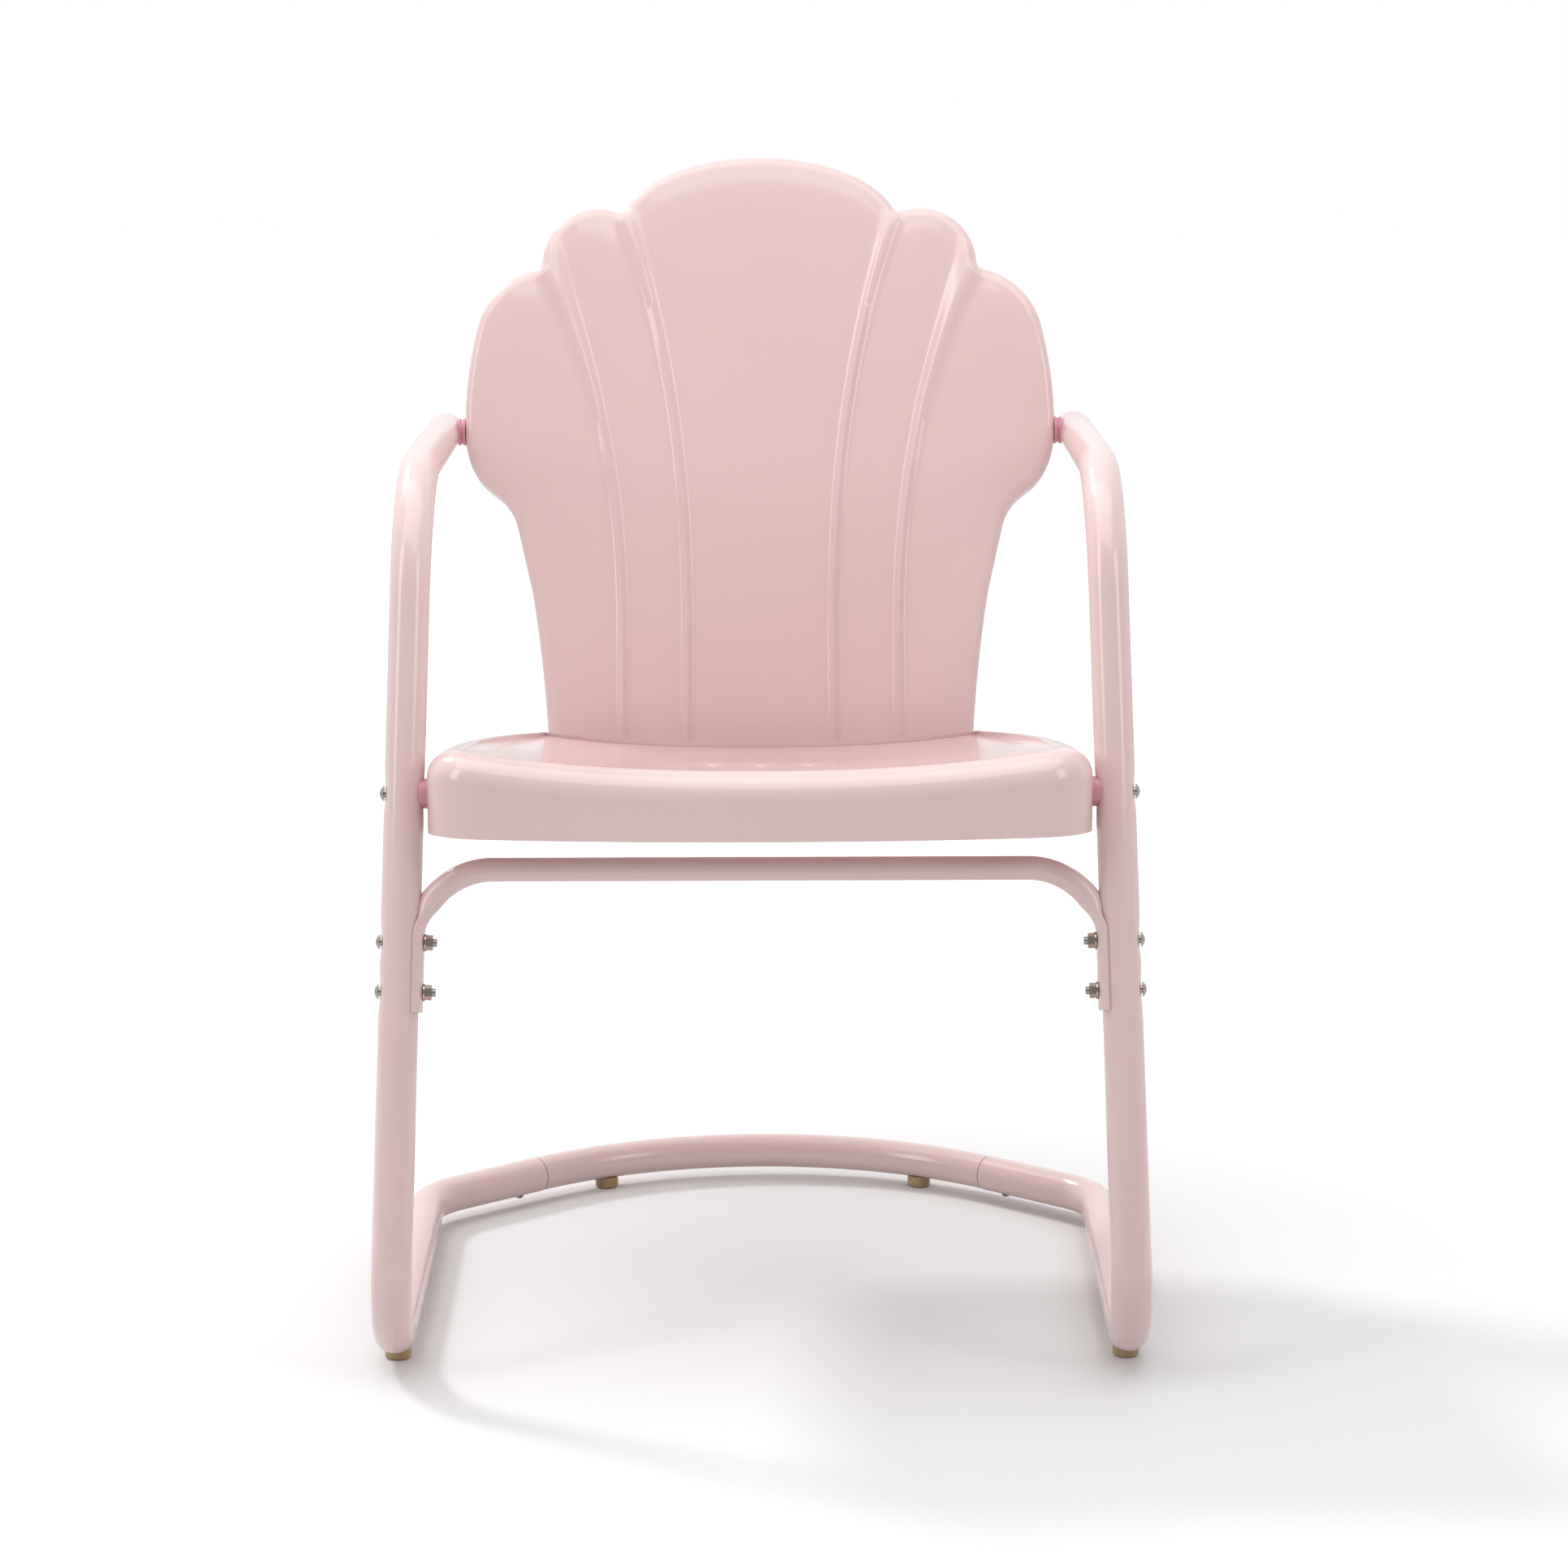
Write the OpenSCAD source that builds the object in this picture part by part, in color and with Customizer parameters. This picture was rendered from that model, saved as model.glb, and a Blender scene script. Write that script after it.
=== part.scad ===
/* [Frame] */
// Outer diameter of the frame tube
tube_d = 30; // [26:0.5:34]
// Wall of every frame tube
tube_wall = 1.5; // [1:0.1:2]
// Distance of each base tube's front end outside the seat's side
base_over = 27.5; // [26:0.5:40]
// Lean of the front legs back from upright
lean = 14.5; // [10:0.5:18]
// Inward tilt of each side frame towards its top
tilt = 1.7; // [1:0.1:2.2]
// Outward turn of each side frame towards the rear
toe = 1.6; // [1:0.1:2.2]
// Rise of the arms towards the rear
arm_rise = 1.4; // [0:0.2:4]
// Height of the arm tube's axis at its rear bolt
arm_h = 671; // [645:1:695]
// Bend radius between leg and arm
top_bend_r = 115; // [90:1:135]
// Bend radius between leg and base tube
foot_bend_r = 62; // [50:1:75]
// Length of the pressed flat at the arm's rear end
arm_flat_len = 58; // [50:1:70]
// Depth of the pressed flat
arm_flat_depth = 3; // [2:0.2:4]
// Length of the arm beyond its rear bolt
arm_overrun = 17; // [14:1:24]

/* [Base] */
// Depth of the base from the foot point to the rear tube's axis
base_depth = 567; // [540:1:590]
// Radius of the curved rear tube
rear_arc_r = 302; // [285:1:330]
// Half distance between the plug joints of the rear tube
joint_half = 198; // [185:1:205]
// Bend radius at each rear corner
corner_bend_r = 66; // [55:1:85]
// Length of the reduced end that plugs into the side tube
spigot_len = 40; // [30:1:50]
// Clearance round each plug
plug_gap = 0.15; // [0.1:0.05:0.3]
// Diameter of a floor glide
glide_d = 20; // [16:0.5:24]
// Height of the tubes above the floor
glide_h = 8; // [6:0.5:12]
// Diameter of a glide's stem
glide_stem_d = 8; // [5:0.5:10]
// Half distance between the rear glides
rear_glide_half = 139; // [110:1:165]

/* [Brace] */
// Diameter of the front brace tube
brace_d = 18; // [16:0.5:20]
// Depth of the brace's level run below the seat's front crest
brace_drop = 76.5; // [70:0.5:90]
// Bend radius at each end of the brace
brace_bend_r = 57; // [50:1:62]
// Depth of the upper bolt below the brace's level run
brace_bolt_drop = 52; // [50:1:60]
// Distance between the two bolts of one end
brace_bolt_gap = 37; // [30:1:44]
// Thickness of the flattened end
strap_t = 3; // [2.4:0.1:4]
// Half of the angle that the flattened end wraps round the leg
strap_wrap = 44; // [35:1:55]
// Length of the flattened end below the lower bolt
strap_tail = 15; // [12:1:18]
// Length of the flattened end above the upper bolt
strap_top = 8; // [7.5:0.5:12]

/* [Seat] */
// Thickness of the sheet in both shells
sheet_t = 1.5; // [1.2:0.1:2]
// Height of the seat's front crest at the middle
seat_h = 452.5; // [430:0.5:475]
// Half width of the seat
seat_half = 247; // [230:0.5:265]
// Distance of the seat's front ahead of the bolt that holds it
seat_bolt_in = 53.9; // [52:0.1:70]
// Corner radius of the seat at the front
seat_corner_r = 42; // [30:1:48]
// Fall of the seat towards the rear
seat_fall = 5.9; // [3:0.1:8]
// Height of the side rims above the middle
seat_crown = 20; // [10:1:24]
// Extra depth of the dish inside the rims
seat_dish = 10; // [4:1:14]
// Rounding of the seat's edge
seat_roll = 26; // [18:1:27]
// Height of the front skirt
seat_skirt = 51.6; // [48:0.2:58]
// Height of the rear skirt
seat_rear_skirt = 40; // [36:1:46]
// Diameter of the drain holes
drain_d = 4; // [3:0.5:6]
// Distance between the drain holes
drain_gap = 39; // [30:1:50]

/* [Back] */
// Overall height of the back
back_h = 902.5; // [870:0.5:930]
// Foot of the back's front face, from the foot point
back_root = 475; // [465:1:485]
// Depth of the back's lower end below the seat's front crest
back_low_drop = 90.5; // [87:0.5:100]
// Depth below the seat's front crest where the back starts to recline
back_bend_drop = 37.5; // [25:0.5:42]
// Recline of the back
recline = 15; // [12:0.5:18]
// Forward wrap of the back at its widest place
back_wrap = 35; // [20:1:45]
// Extra half width of the back, at its widest place, over the seat's
back_over = 4.5; // [2:0.5:7]
// Half width of the back at its lower end
back_foot_half = 180; // [170:1:185]
// Half width of the middle lobe
lobe_half = 118; // [105:1:125]
// Depth of the back's turned edge
back_skirt = 30; // [27:1:36]
// Rounding of the back's turned edge
back_roll = 11; // [8:0.5:13]
// Height of the pressed beads
bead_h = 3; // [1.5:0.5:4]
// Half distance between the inner beads at their lower end
bead_inner = 63; // [50:1:75]
// Half distance between the outer beads at their lower end
bead_outer = 118; // [105:1:130]

/* [Fasteners] */
// Diameter of the bolts
bolt_d = 6; // [5:0.5:6.5]
// Clearance round each bolt, on the diameter
bolt_gap = 0.5; // [0.3:0.1:0.8]
// Depth of the bolt that holds the seat below the seat's front crest
seat_bolt_drop = 21.2; // [20.6:0.2:23]
// Diameter of a seat spacer
seat_spacer_d = 22.6; // [20:0.2:24]
// Diameter of a back spacer
back_spacer_d = 23; // [20:0.5:24]
// Distance of the arm bolt behind the back's face
arm_bolt_back = 19; // [17.5:0.5:20]
// Distance from the middle to the outer bolts between seat and back
shell_bolt_x = 105; // [80:1:130]

/* [Hidden] */
$fn = 64;
pink = [0.89, 0.76, 0.74];
rose = [0.85, 0.62, 0.66];
steel = [0.72, 0.71, 0.69];
amber = [0.72, 0.58, 0.38];
far = 400;
touch = 0.02;

// Side frame: leg, arm and base tube lie in one plane, whose origin is where leg and base would meet
tube_r = tube_d / 2;
axis_h = glide_h + tube_r;
base_half = seat_half + base_over;
back_half = seat_half + back_over;
brace_h = seat_h - brace_drop;
brace_bolt_h = brace_h - brace_bolt_drop;
back_low = seat_h - back_low_drop;
back_bend_h = seat_h - back_bend_drop;
seat_bolt_h = seat_h - seat_bolt_drop;
function out_x(y, z) = base_half + y * sin(toe) - z * sin(tilt) * cos(toe);
function out_y(y, z) = y * cos(toe) + z * sin(tilt) * sin(toe);
function along_leg(h) = (h - axis_h) / (cos(lean) * cos(tilt));
function leg_x(h) = out_x(along_leg(h) * sin(lean), along_leg(h) * cos(lean));
function leg_y(h) = out_y(along_leg(h) * sin(lean), along_leg(h) * cos(lean));
foot_tan = foot_bend_r * tan((90 + lean) / 2);
top_turn = 90 - lean - arm_rise;
top_tan = top_bend_r * tan(top_turn / 2);
// The back's face: level at its foot, then reclined and wrapped forward at the sides
bend_soft = 20;
function rises(s) = (s + sqrt(s * s + bend_soft * bend_soft)) / 2;
function wrap(x) = back_wrap * pow(x / back_half, 2);
function face_y(x, z) = back_root + tan(recline) * rises(z - back_bend_h) - wrap(x);
back_in = [0, cos(recline), -sin(recline)];
wide_h = arm_h + arm_bolt_back * sin(recline);
arm_bolt_y = face_y(back_half, wide_h) + arm_bolt_back * cos(recline);
arm_z = (arm_h - axis_h) / cos(tilt);
arm_y = (arm_bolt_y - arm_z * sin(tilt) * sin(toe)) / cos(toe);
arm_x = out_x(arm_y, arm_z);
leg_len = (arm_z - arm_y * tan(arm_rise)) / (cos(lean) - sin(lean) * tan(arm_rise));
leg_dir = [sin(lean), cos(lean)];
top_centre = leg_dir * (leg_len - top_tan) + top_bend_r * [cos(lean), -sin(lean)];
arm_from = top_centre + top_bend_r * [-sin(arm_rise), cos(arm_rise)];
arm_len = (arm_y - arm_from[0]) / cos(arm_rise);
// Base: the side tube turns at each rear corner and runs on to meet the curved rear tube
arc_half = asin(joint_half / rear_arc_r);
joint_y = base_depth - rear_arc_r * (1 - cos(arc_half));
corner_turn = 90 - arc_half + toe;
corner_tan = corner_bend_r * tan(corner_turn / 2);
corner_at = (joint_y - tan(arc_half) * (base_half - joint_half)) / (cos(toe) + tan(arc_half) * sin(toe));
rear_run = (base_half - joint_half + corner_at * sin(toe)) / cos(arc_half) - corner_tan;
front_glide_at = foot_tan + 3;
spigot_r = tube_r - tube_wall - plug_gap;
screw_r = 2;
screw_in = 20;
// Fasteners
bolt_r = bolt_d / 2;
hole_r = (bolt_d + bolt_gap) / 2;
head_r = bolt_d;
head_h = 0.55 * bolt_d;
washer_r = 1.1 * bolt_d;
washer_t = 1.2;
nut_af = 10 / 6 * bolt_d;
nut_h = 5 / 6 * bolt_d;
thread_out = 3;
insert_r = 4.5;
insert_len = 12;
seat_bolt_y = leg_y(seat_bolt_h);
seat_front = seat_bolt_y - seat_bolt_in;
shell_bolt_h = seat_h - tan(seat_fall) * (back_root - seat_front - seat_roll)
    - (seat_rear_skirt + seat_roll) / 2;
// The whole chair stands centred front to back over the origin
front_edge = (foot_tan - foot_bend_r) * cos(toe) - tube_r;
back_top = back_h + back_roll * (1 + sin(recline) - sqrt(1 + pow(sin(recline), 2)));
rear_edge = face_y(0, back_top) + back_skirt * cos(recline);
module placed() translate([0, -(front_edge + rear_edge) / 2, 0]) children();

module on_side(side) placed() mirror([side < 0 ? 1 : 0, 0, 0]) children();
module side_base() translate([base_half, 0, axis_h]) rotate([0, 0, -toe]) children();
module side_plane() side_base() rotate([0, -tilt, 0]) children();
module at_leg(h) side_plane() rotate([-lean, 0, 0]) translate([0, 0, along_leg(h)]) children();
module at_arm() side_plane() translate([0, arm_y, arm_z]) rotate([arm_rise, 0, 0]) children();
module at_joint() translate([joint_half, joint_y, axis_h]) rotate([0, 0, -arc_half]) children();

// Each tube is a solid line less its bore; in its bends the tube is drawn a little slimmer
bend_draw = 0.1;
lap = 0.5;
module bend(bend_r, turn, r) rotate_extrude(angle = turn, $fn = 96) translate([bend_r, 0])
    circle(r - bend_draw);
module run(len, r, before = lap, after = lap) translate([0, 0, -before])
    cylinder(r = r, h = len + before + after);
// In the side frame's plane, x is drawn to the rear and y upwards
module drawn() rotate([90, 0, 90]) children();
module run_from(p, turn, len, r) translate([p[0], p[1], 0]) rotate([0, 0, turn]) rotate([0, 90, 0])
    run(len, r);
module arm_flat(in) at_arm() translate([-far - tube_r + arm_flat_depth + in,
    arm_overrun - arm_flat_len + in, -far / 2]) cube(far);
module side_line(in, open) {
    r = tube_r - in;
    side_plane() drawn() {
        run_from(leg_dir * foot_tan, 90 - lean, leg_len - top_tan - foot_tan, r);
        translate([foot_tan, foot_bend_r, 0]) rotate([0, 0, 180 - lean]) bend(foot_bend_r, 90 + lean, r);
        translate([top_centre[0], top_centre[1], 0]) rotate([0, 0, 90 + arm_rise])
            bend(top_bend_r, top_turn, r);
    }
    difference() {
        at_arm() translate([0, arm_overrun + open, 0]) rotate([90, 0, 0])
            run(arm_len + arm_overrun + open, r, 0);
        arm_flat(in);
    }
    side_base() {
        translate([0, corner_at - corner_tan, 0]) rotate([90, 0, 0])
            run(corner_at - corner_tan - foot_tan, r);
        translate([-corner_bend_r, corner_at - corner_tan, 0]) bend(corner_bend_r, corner_turn, r);
    }
    at_joint() rotate([0, 90, 0]) run(rear_run, r, open);
}
module side_tube() difference() {
    side_line(0, 0);
    side_line(tube_wall, 1);
}
module arm_end(in, len) rotate([90, 0, 0]) linear_extrude(len) intersection() {
    circle(tube_r - in);
    translate([arm_flat_depth - tube_r + in, -tube_r]) square(2 * tube_r);
}
module across(r, from, to) translate([from, 0, 0]) rotate([0, 90, 0]) cylinder(r = r, h = to - from);
module down_hole(r) translate([0, 0, -far / 4]) cylinder(r = r, h = far / 4);
module at_seat_bolt() translate([0, seat_bolt_y, seat_bolt_h]) children();
module at_arm_bolt() translate([0, arm_bolt_y, arm_h]) children();
module at_front_glide() side_base() translate([0, front_glide_at, 0]) children();
module at_rear_glide() translate([0, base_depth - rear_arc_r, axis_h])
    rotate([0, 0, -asin(rear_glide_half / rear_arc_r)]) translate([0, rear_arc_r, 0]) children();
module at_base_screw() at_joint() translate([screw_in, 0, 0]) children();
module side_frame(side) color(pink) on_side(side) difference() {
    side_tube();
    at_seat_bolt() across(hole_r, base_half / 2, far);
    at_leg(brace_bolt_h) {
        across(hole_r, -far / 4, far / 4);
        translate([0, 0, -brace_bolt_gap]) across(hole_r, -far / 4, far / 4);
    }
    at_arm_bolt() across(insert_r + touch, base_half / 2, arm_x);
    at_front_glide() down_hole(glide_stem_d / 2 + touch);
    at_base_screw() down_hole(screw_r + touch);
}
module left_side_frame() side_frame(-1);
module right_side_frame() side_frame(1);

// Rear tube: an arc whose reduced ends plug into the two side tubes
neck = 3;
module rear_arc(r, less) translate([0, base_depth - rear_arc_r, axis_h])
    rotate([0, 0, 90 - arc_half + less]) bend(rear_arc_r, 2 * (arc_half - less), r);
module rear_base_tube() color(pink) placed() difference() {
    union() {
        rear_arc(tube_r, 0);
        for (side = [0, 1]) mirror([side, 0, 0]) at_joint() rotate([0, 90, 0])
            run(spigot_len, spigot_r, neck, 0);
    }
    rear_arc(tube_r - tube_wall, neck / rear_arc_r * 180 / PI);
    for (side = [0, 1]) mirror([side, 0, 0]) {
        at_joint() rotate([0, 90, 0]) run(spigot_len, spigot_r - tube_wall, neck + lap, lap);
        at_base_screw() down_hole(screw_r + touch);
        at_rear_glide() down_hole(glide_stem_d / 2 + touch);
    }
}
module base_screws() color(steel) for (side = [-1, 1]) on_side(side) at_base_screw()
    translate([0, 0, -tube_r]) {
        translate([0, 0, -screw_r]) cylinder(r1 = 1.4 * screw_r, r2 = 2 * screw_r, h = screw_r);
        translate([0, 0, -screw_r / 2]) cylinder(r = screw_r, h = 4.5 * screw_r);
    }

// Plugs in the arms' rear ends
plug_lip = 2;
plug_in = 7;
module arm_plug(side) color(pink) on_side(side) at_arm() {
    translate([0, arm_overrun + plug_lip, 0]) arm_end(0.2, plug_lip);
    translate([0, arm_overrun + plug_lip / 2, 0]) arm_end(tube_wall + plug_gap, plug_in);
}
module left_arm_plug() arm_plug(-1);
module right_arm_plug() arm_plug(1);

// Floor glides: a round foot hollowed to the tube above it, with a stem in the tube
glide_edge = 1.5;
module glide() difference() {
    translate([0, 0, -axis_h]) rotate_extrude() polygon([[0, 0], [glide_d / 2 - glide_edge, 0],
        [glide_d / 2, glide_edge], [glide_d / 2, glide_h + 2], [0, glide_h + 2]]);
    children();
}
module glide_stem() translate([0, 0, -tube_r - glide_h / 2])
    cylinder(r = glide_stem_d / 2, h = glide_h / 2 + tube_wall + 5);
module front_glide(side) color(amber) on_side(side) at_front_glide() {
    glide() rotate([90, 0, 0]) cylinder(r = tube_r + touch, h = far, center = true);
    glide_stem();
}
module rear_glide(side) color(amber) on_side(side) at_rear_glide() {
    glide() translate([0, -rear_arc_r, 0]) rotate([0, 0, 60]) rotate_extrude(angle = 60, $fn = 96)
        translate([rear_arc_r, 0]) circle(tube_r + touch);
    glide_stem();
}
module front_left_glide() front_glide(-1);
module front_right_glide() front_glide(1);
module rear_left_glide() rear_glide(-1);
module rear_right_glide() rear_glide(1);

// Front brace: a bent tube in the legs' plane, its ends pressed to straps that wrap the legs
brace_r = brace_d / 2;
brace_turn = 52;
press_turn = 69;
press_flat = 0.5;
press_wide = 1.3;
leg_out = tube_r + 0.1;
strap_r = leg_out + strap_t;
brace_end = leg_x(brace_bolt_h) - tube_r - brace_bend_r - brace_r / 2;
module brace_plane() translate([0, leg_y(brace_h), brace_h]) rotate([-lean, 0, 0]) children();
module strap_section(out, in, wrap) intersection() {
    difference() {
        circle(out);
        circle(in);
    }
    polygon([[0, 0], [-far, far * tan(wrap)], [-far, -far * tan(wrap)]]);
}
module brace_line(in) brace_plane() {
    rotate([0, 90, 0]) run(2 * brace_end, brace_r - in, brace_end + lap, lap - brace_end);
    for (side = [0, 1]) mirror([side, 0, 0]) translate([brace_end, 0, -brace_bend_r])
        rotate([90, 0, 0]) rotate([0, 0, 90 - brace_turn]) bend(brace_bend_r, brace_turn, brace_r - in);
}
module at_bend(turn) brace_plane() translate([brace_end, 0, -brace_bend_r]) rotate([0, turn, 0])
    translate([0, 0, brace_bend_r]) rotate([0, 90, 0]) children();
module half_pressed() at_bend(press_turn) scale([press_flat, press_wide, 1])
    cylinder(r = brace_r, h = 1, $fn = 32);
// The tube's end is pressed down to a strap bent round the leg
module pressed_end() {
    difference() {
        union() {
            hull() {
                at_bend(brace_turn) translate([0, 0, -2]) cylinder(r = brace_r + 0.1, h = 3, $fn = 32);
                half_pressed();
            }
            hull() {
                half_pressed();
                at_leg(brace_bolt_h) translate([0, 0, strap_top - 1]) linear_extrude(1)
                    strap_section(strap_r - 0.2, leg_out + 0.2, strap_wrap - 1, $fn = 32);
            }
        }
        at_leg(brace_bolt_h) translate([0, 0, -far / 4]) cylinder(r = leg_out + 0.05, h = far);
    }
    at_leg(brace_bolt_h) translate([0, 0, -brace_bolt_gap - strap_tail])
        linear_extrude(brace_bolt_gap + strap_tail + strap_top)
            strap_section(strap_r, leg_out, strap_wrap);
}
module front_brace() color(pink) placed() difference() {
    union() {
        difference() {
            brace_line(0);
            brace_line(tube_wall);
        }
        pressed_end();
        mirror([1, 0, 0]) pressed_end();
    }
    for (side = [0, 1]) mirror([side, 0, 0]) at_leg(brace_bolt_h) {
        across(hole_r, -far / 8, 0);
        translate([0, 0, -brace_bolt_gap]) across(hole_r, -far / 8, 0);
    }
}

// Spacers, each seated on a tube at one end and on a shell at the other
spacer_wrap = 4.8;
spacer_edge = 1.4;
module seat_spacer(side) color(rose) on_side(side) difference() {
    at_seat_bolt() translate([seat_half, 0, 0]) rotate([0, 90, 0]) {
        len = leg_x(seat_bolt_h) - tube_r + spacer_wrap - seat_half;
        r = seat_spacer_d / 2;
        rotate_extrude() polygon([[hole_r, 0], [r, 0], [r, len - spacer_edge], [r - spacer_edge, len],
            [hole_r, len]]);
    }
    at_leg(seat_bolt_h) cylinder(r = tube_r + touch, h = far / 4, center = true);
}
module left_seat_spacer() seat_spacer(-1);
module right_seat_spacer() seat_spacer(1);
module back_spacer(side) color(rose) on_side(side) difference() {
    at_arm_bolt() across(back_spacer_d / 2, back_half, arm_x);
    at_arm() translate([arm_flat_depth - tube_r - touch, -far, -far]) cube(2 * far);
    at_arm_bolt() {
        across(hole_r, 0, far);
        translate([(back_half + arm_x - tube_r + arm_flat_depth) / 2, 0, 0]) rotate([0, 90, 0])
            rotate_extrude() translate([back_spacer_d / 2, 0]) circle(1.2);
    }
}
module left_back_spacer() back_spacer(-1);
module right_back_spacer() back_spacer(1);

// Fasteners, each drawn along x with its head or face towards +x
module head(x) translate([x, 0, 0]) rotate([0, 90, 0]) difference() {
    intersection() {
        cylinder(r = head_r, h = head_h);
        translate([0, 0, head_h - head_ball]) sphere(head_ball);
    }
    translate([0, 0, head_h / 2]) cylinder(d = 0.7 * bolt_d, h = head_h, $fn = 6);
}
head_ball = (head_r * head_r + head_h * head_h) / (2 * head_h);
module bolt(x, end) {
    head(x);
    across(bolt_r, end, x + head_h / 4);
}
module washer(x) difference() {
    across(washer_r, x, x + washer_t);
    across(hole_r, x - 1, x + washer_t + 1);
}
module nut(x) difference() {
    translate([x, 0, 0]) rotate([0, 90, 0]) cylinder(d = nut_af / cos(30), h = nut_h, $fn = 6);
    across(bolt_r + touch, x - 1, x + nut_h + 1);
}
seat_in = seat_half - sheet_t - washer_t;
module seat_bolts() color(steel) for (side = [-1, 1]) on_side(side) at_seat_bolt()
    bolt(leg_x(seat_bolt_h) + tube_r + 0.1, seat_in - nut_h - thread_out);
module seat_washers() color(steel) for (side = [-1, 1]) on_side(side) at_seat_bolt() washer(seat_in);
module seat_nuts() color(steel) for (side = [-1, 1]) on_side(side) at_seat_bolt() nut(seat_in - nut_h);
module at_brace_bolts() at_leg(brace_bolt_h) for (down = [0, brace_bolt_gap])
    translate([0, 0, -down]) children();
brace_in = -strap_r - washer_t;
module brace_bolts() color(steel) for (side = [-1, 1]) on_side(side) at_brace_bolts()
    bolt(tube_r + 0.02, brace_in - nut_h - thread_out);
module brace_washers() color(steel) for (side = [-1, 1]) on_side(side) at_brace_bolts() washer(brace_in);
module brace_nuts() color(steel) for (side = [-1, 1]) on_side(side) at_brace_bolts() nut(brace_in - nut_h);
arm_in = back_half - sheet_t - washer_t - 0.3;
module arm_bolts() color(steel) for (side = [-1, 1]) on_side(side) at_arm_bolt()
    mirror([1, 0, 0]) bolt(-arm_in, -arm_x + tube_r - arm_flat_depth - insert_len);
module arm_washers() color(steel) for (side = [-1, 1]) on_side(side) at_arm_bolt() washer(arm_in);
module arm_inserts() color(steel) for (side = [-1, 1]) on_side(side) at_arm_bolt() difference() {
    across(insert_r, arm_x - tube_r + arm_flat_depth + 0.5, arm_x - tube_r + arm_flat_depth + insert_len);
    across(bolt_r + touch, 0, far);
}
// The back is held against the seat's rear skirt by three bolts that run to the rear
module at_shell_bolts() for (x = [-shell_bolt_x, 0, shell_bolt_x])
    translate([x, back_root - wrap(x), shell_bolt_h]) rotate([0, 0, -90 + slope_at(x)]) children();
function slope_at(x) = -atan(2 * back_wrap * x / pow(back_half, 2));
back_gap = 0.3;
shell_out = -sheet_t - 1.4;
module shell_bolts() color(steel) placed() at_shell_bolts()
    bolt(sheet_t + back_gap, shell_out - washer_t - nut_h - thread_out);
module shell_washers() color(steel) placed() at_shell_bolts() washer(shell_out - washer_t);
module shell_nuts() color(steel) placed() at_shell_bolts() nut(shell_out - washer_t - nut_h);

// Shells: a grid of face points inside a loop, whose edge rolls over to a skirt
function lerp(a, b, t) = a + (b - a) * t;
function reversed(a) = [for (i = [len(a) - 1:-1:0]) a[i]];
function bulged(p, q, bulge, t) = abs(bulge) < 0.01 ? lerp(p, q, t) :
    let (d = norm(q - p), dir = (q - p) / d, out = [dir[1], -dir[0]],
        r = (d * d / 4 + bulge * bulge) / (2 * bulge), half = asin(d / 2 / r), a = lerp(-half, half, t))
    (p + q) / 2 + out * (bulge - r + r * cos(a)) + dir * r * sin(a);
function stepped(p, q, bulge, n) = [for (i = [0:n - 1]) bulged(p, q, bulge, i / n)];
function loop_of(south, east, north, west) = concat(
    [for (i = [0:len(south) - 2]) south[i]], [for (i = [0:len(east) - 2]) east[i]],
    [for (i = [len(north) - 1:-1:1]) north[i]], [for (i = [len(west) - 1:-1:1]) west[i]]);
function inward(loop) = let (n = len(loop)) [for (i = [0:n - 1])
    let (t = loop[(i + 1) % n] - loop[(i + n - 1) % n]) [-t[1], t[0]] / norm(t)];
function coons(s, e, n, w, i, j) = let (a = i / (len(s) - 1), b = j / (len(e) - 1))
    lerp(w[j], e[j], a) + lerp(s[i], n[i], b)
    - lerp(lerp(s[0], s[len(s) - 1], a), lerp(n[0], n[len(s) - 1], a), b);
roll_steps = 6;
module shell(cols, rows, outer, inner) {
    rings = roll_steps + 1;
    rim = 2 * (cols + rows) - 4;
    size = cols * rows + rings * rim;
    function on_grid(k) = k < cols ? k : k < cols + rows - 1 ? (k - cols + 2) * cols - 1 :
        k < 2 * cols + rows - 2 ? rows * cols - 1 - (k - cols - rows + 2) :
        (rows - 1 - (k - 2 * cols - rows + 3)) * cols;
    function at(ring, k) = ring == 0 ? on_grid(k % rim) : cols * rows + (ring - 1) * rim + k % rim;
    face = [for (j = [0:rows - 2], i = [0:cols - 2]) let (p = j * cols + i)
        [p, p + 1, p + cols + 1, p + cols]];
    strips = [for (r = [0:rings - 1], k = [0:rim - 1])
        [at(r, k), at(r + 1, k), at(r + 1, k + 1), at(r, k + 1)]];
    quads = concat(face, strips);
    edge = [for (k = [0:rim - 1]) [at(rings, k), size + at(rings, k),
        size + at(rings, k + 1), at(rings, k + 1)]];
    back = [for (q = quads) [for (i = [3:-1:0]) q[i] + size]];
    polyhedron(concat(outer, inner), [for (q = concat(quads, edge, back), t = [0, 1])
        t == 0 ? [q[0], q[2], q[1]] : [q[0], q[3], q[2]]]);
}
// Roll angles from the face round to the skirt, then the skirt's free edge
function rolled(loop, ins, radius, t, depth) = [for (r = [1:roll_steps + 1], i = [0:len(loop) - 1])
    let (a = 90 * (1 - min(r, roll_steps) / roll_steps), in = radius - (radius - t) * cos(a))
    [loop[i] + ins[i] * in, r > roll_steps ? depth[i] : radius - (radius - t) * sin(a)]];

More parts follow.
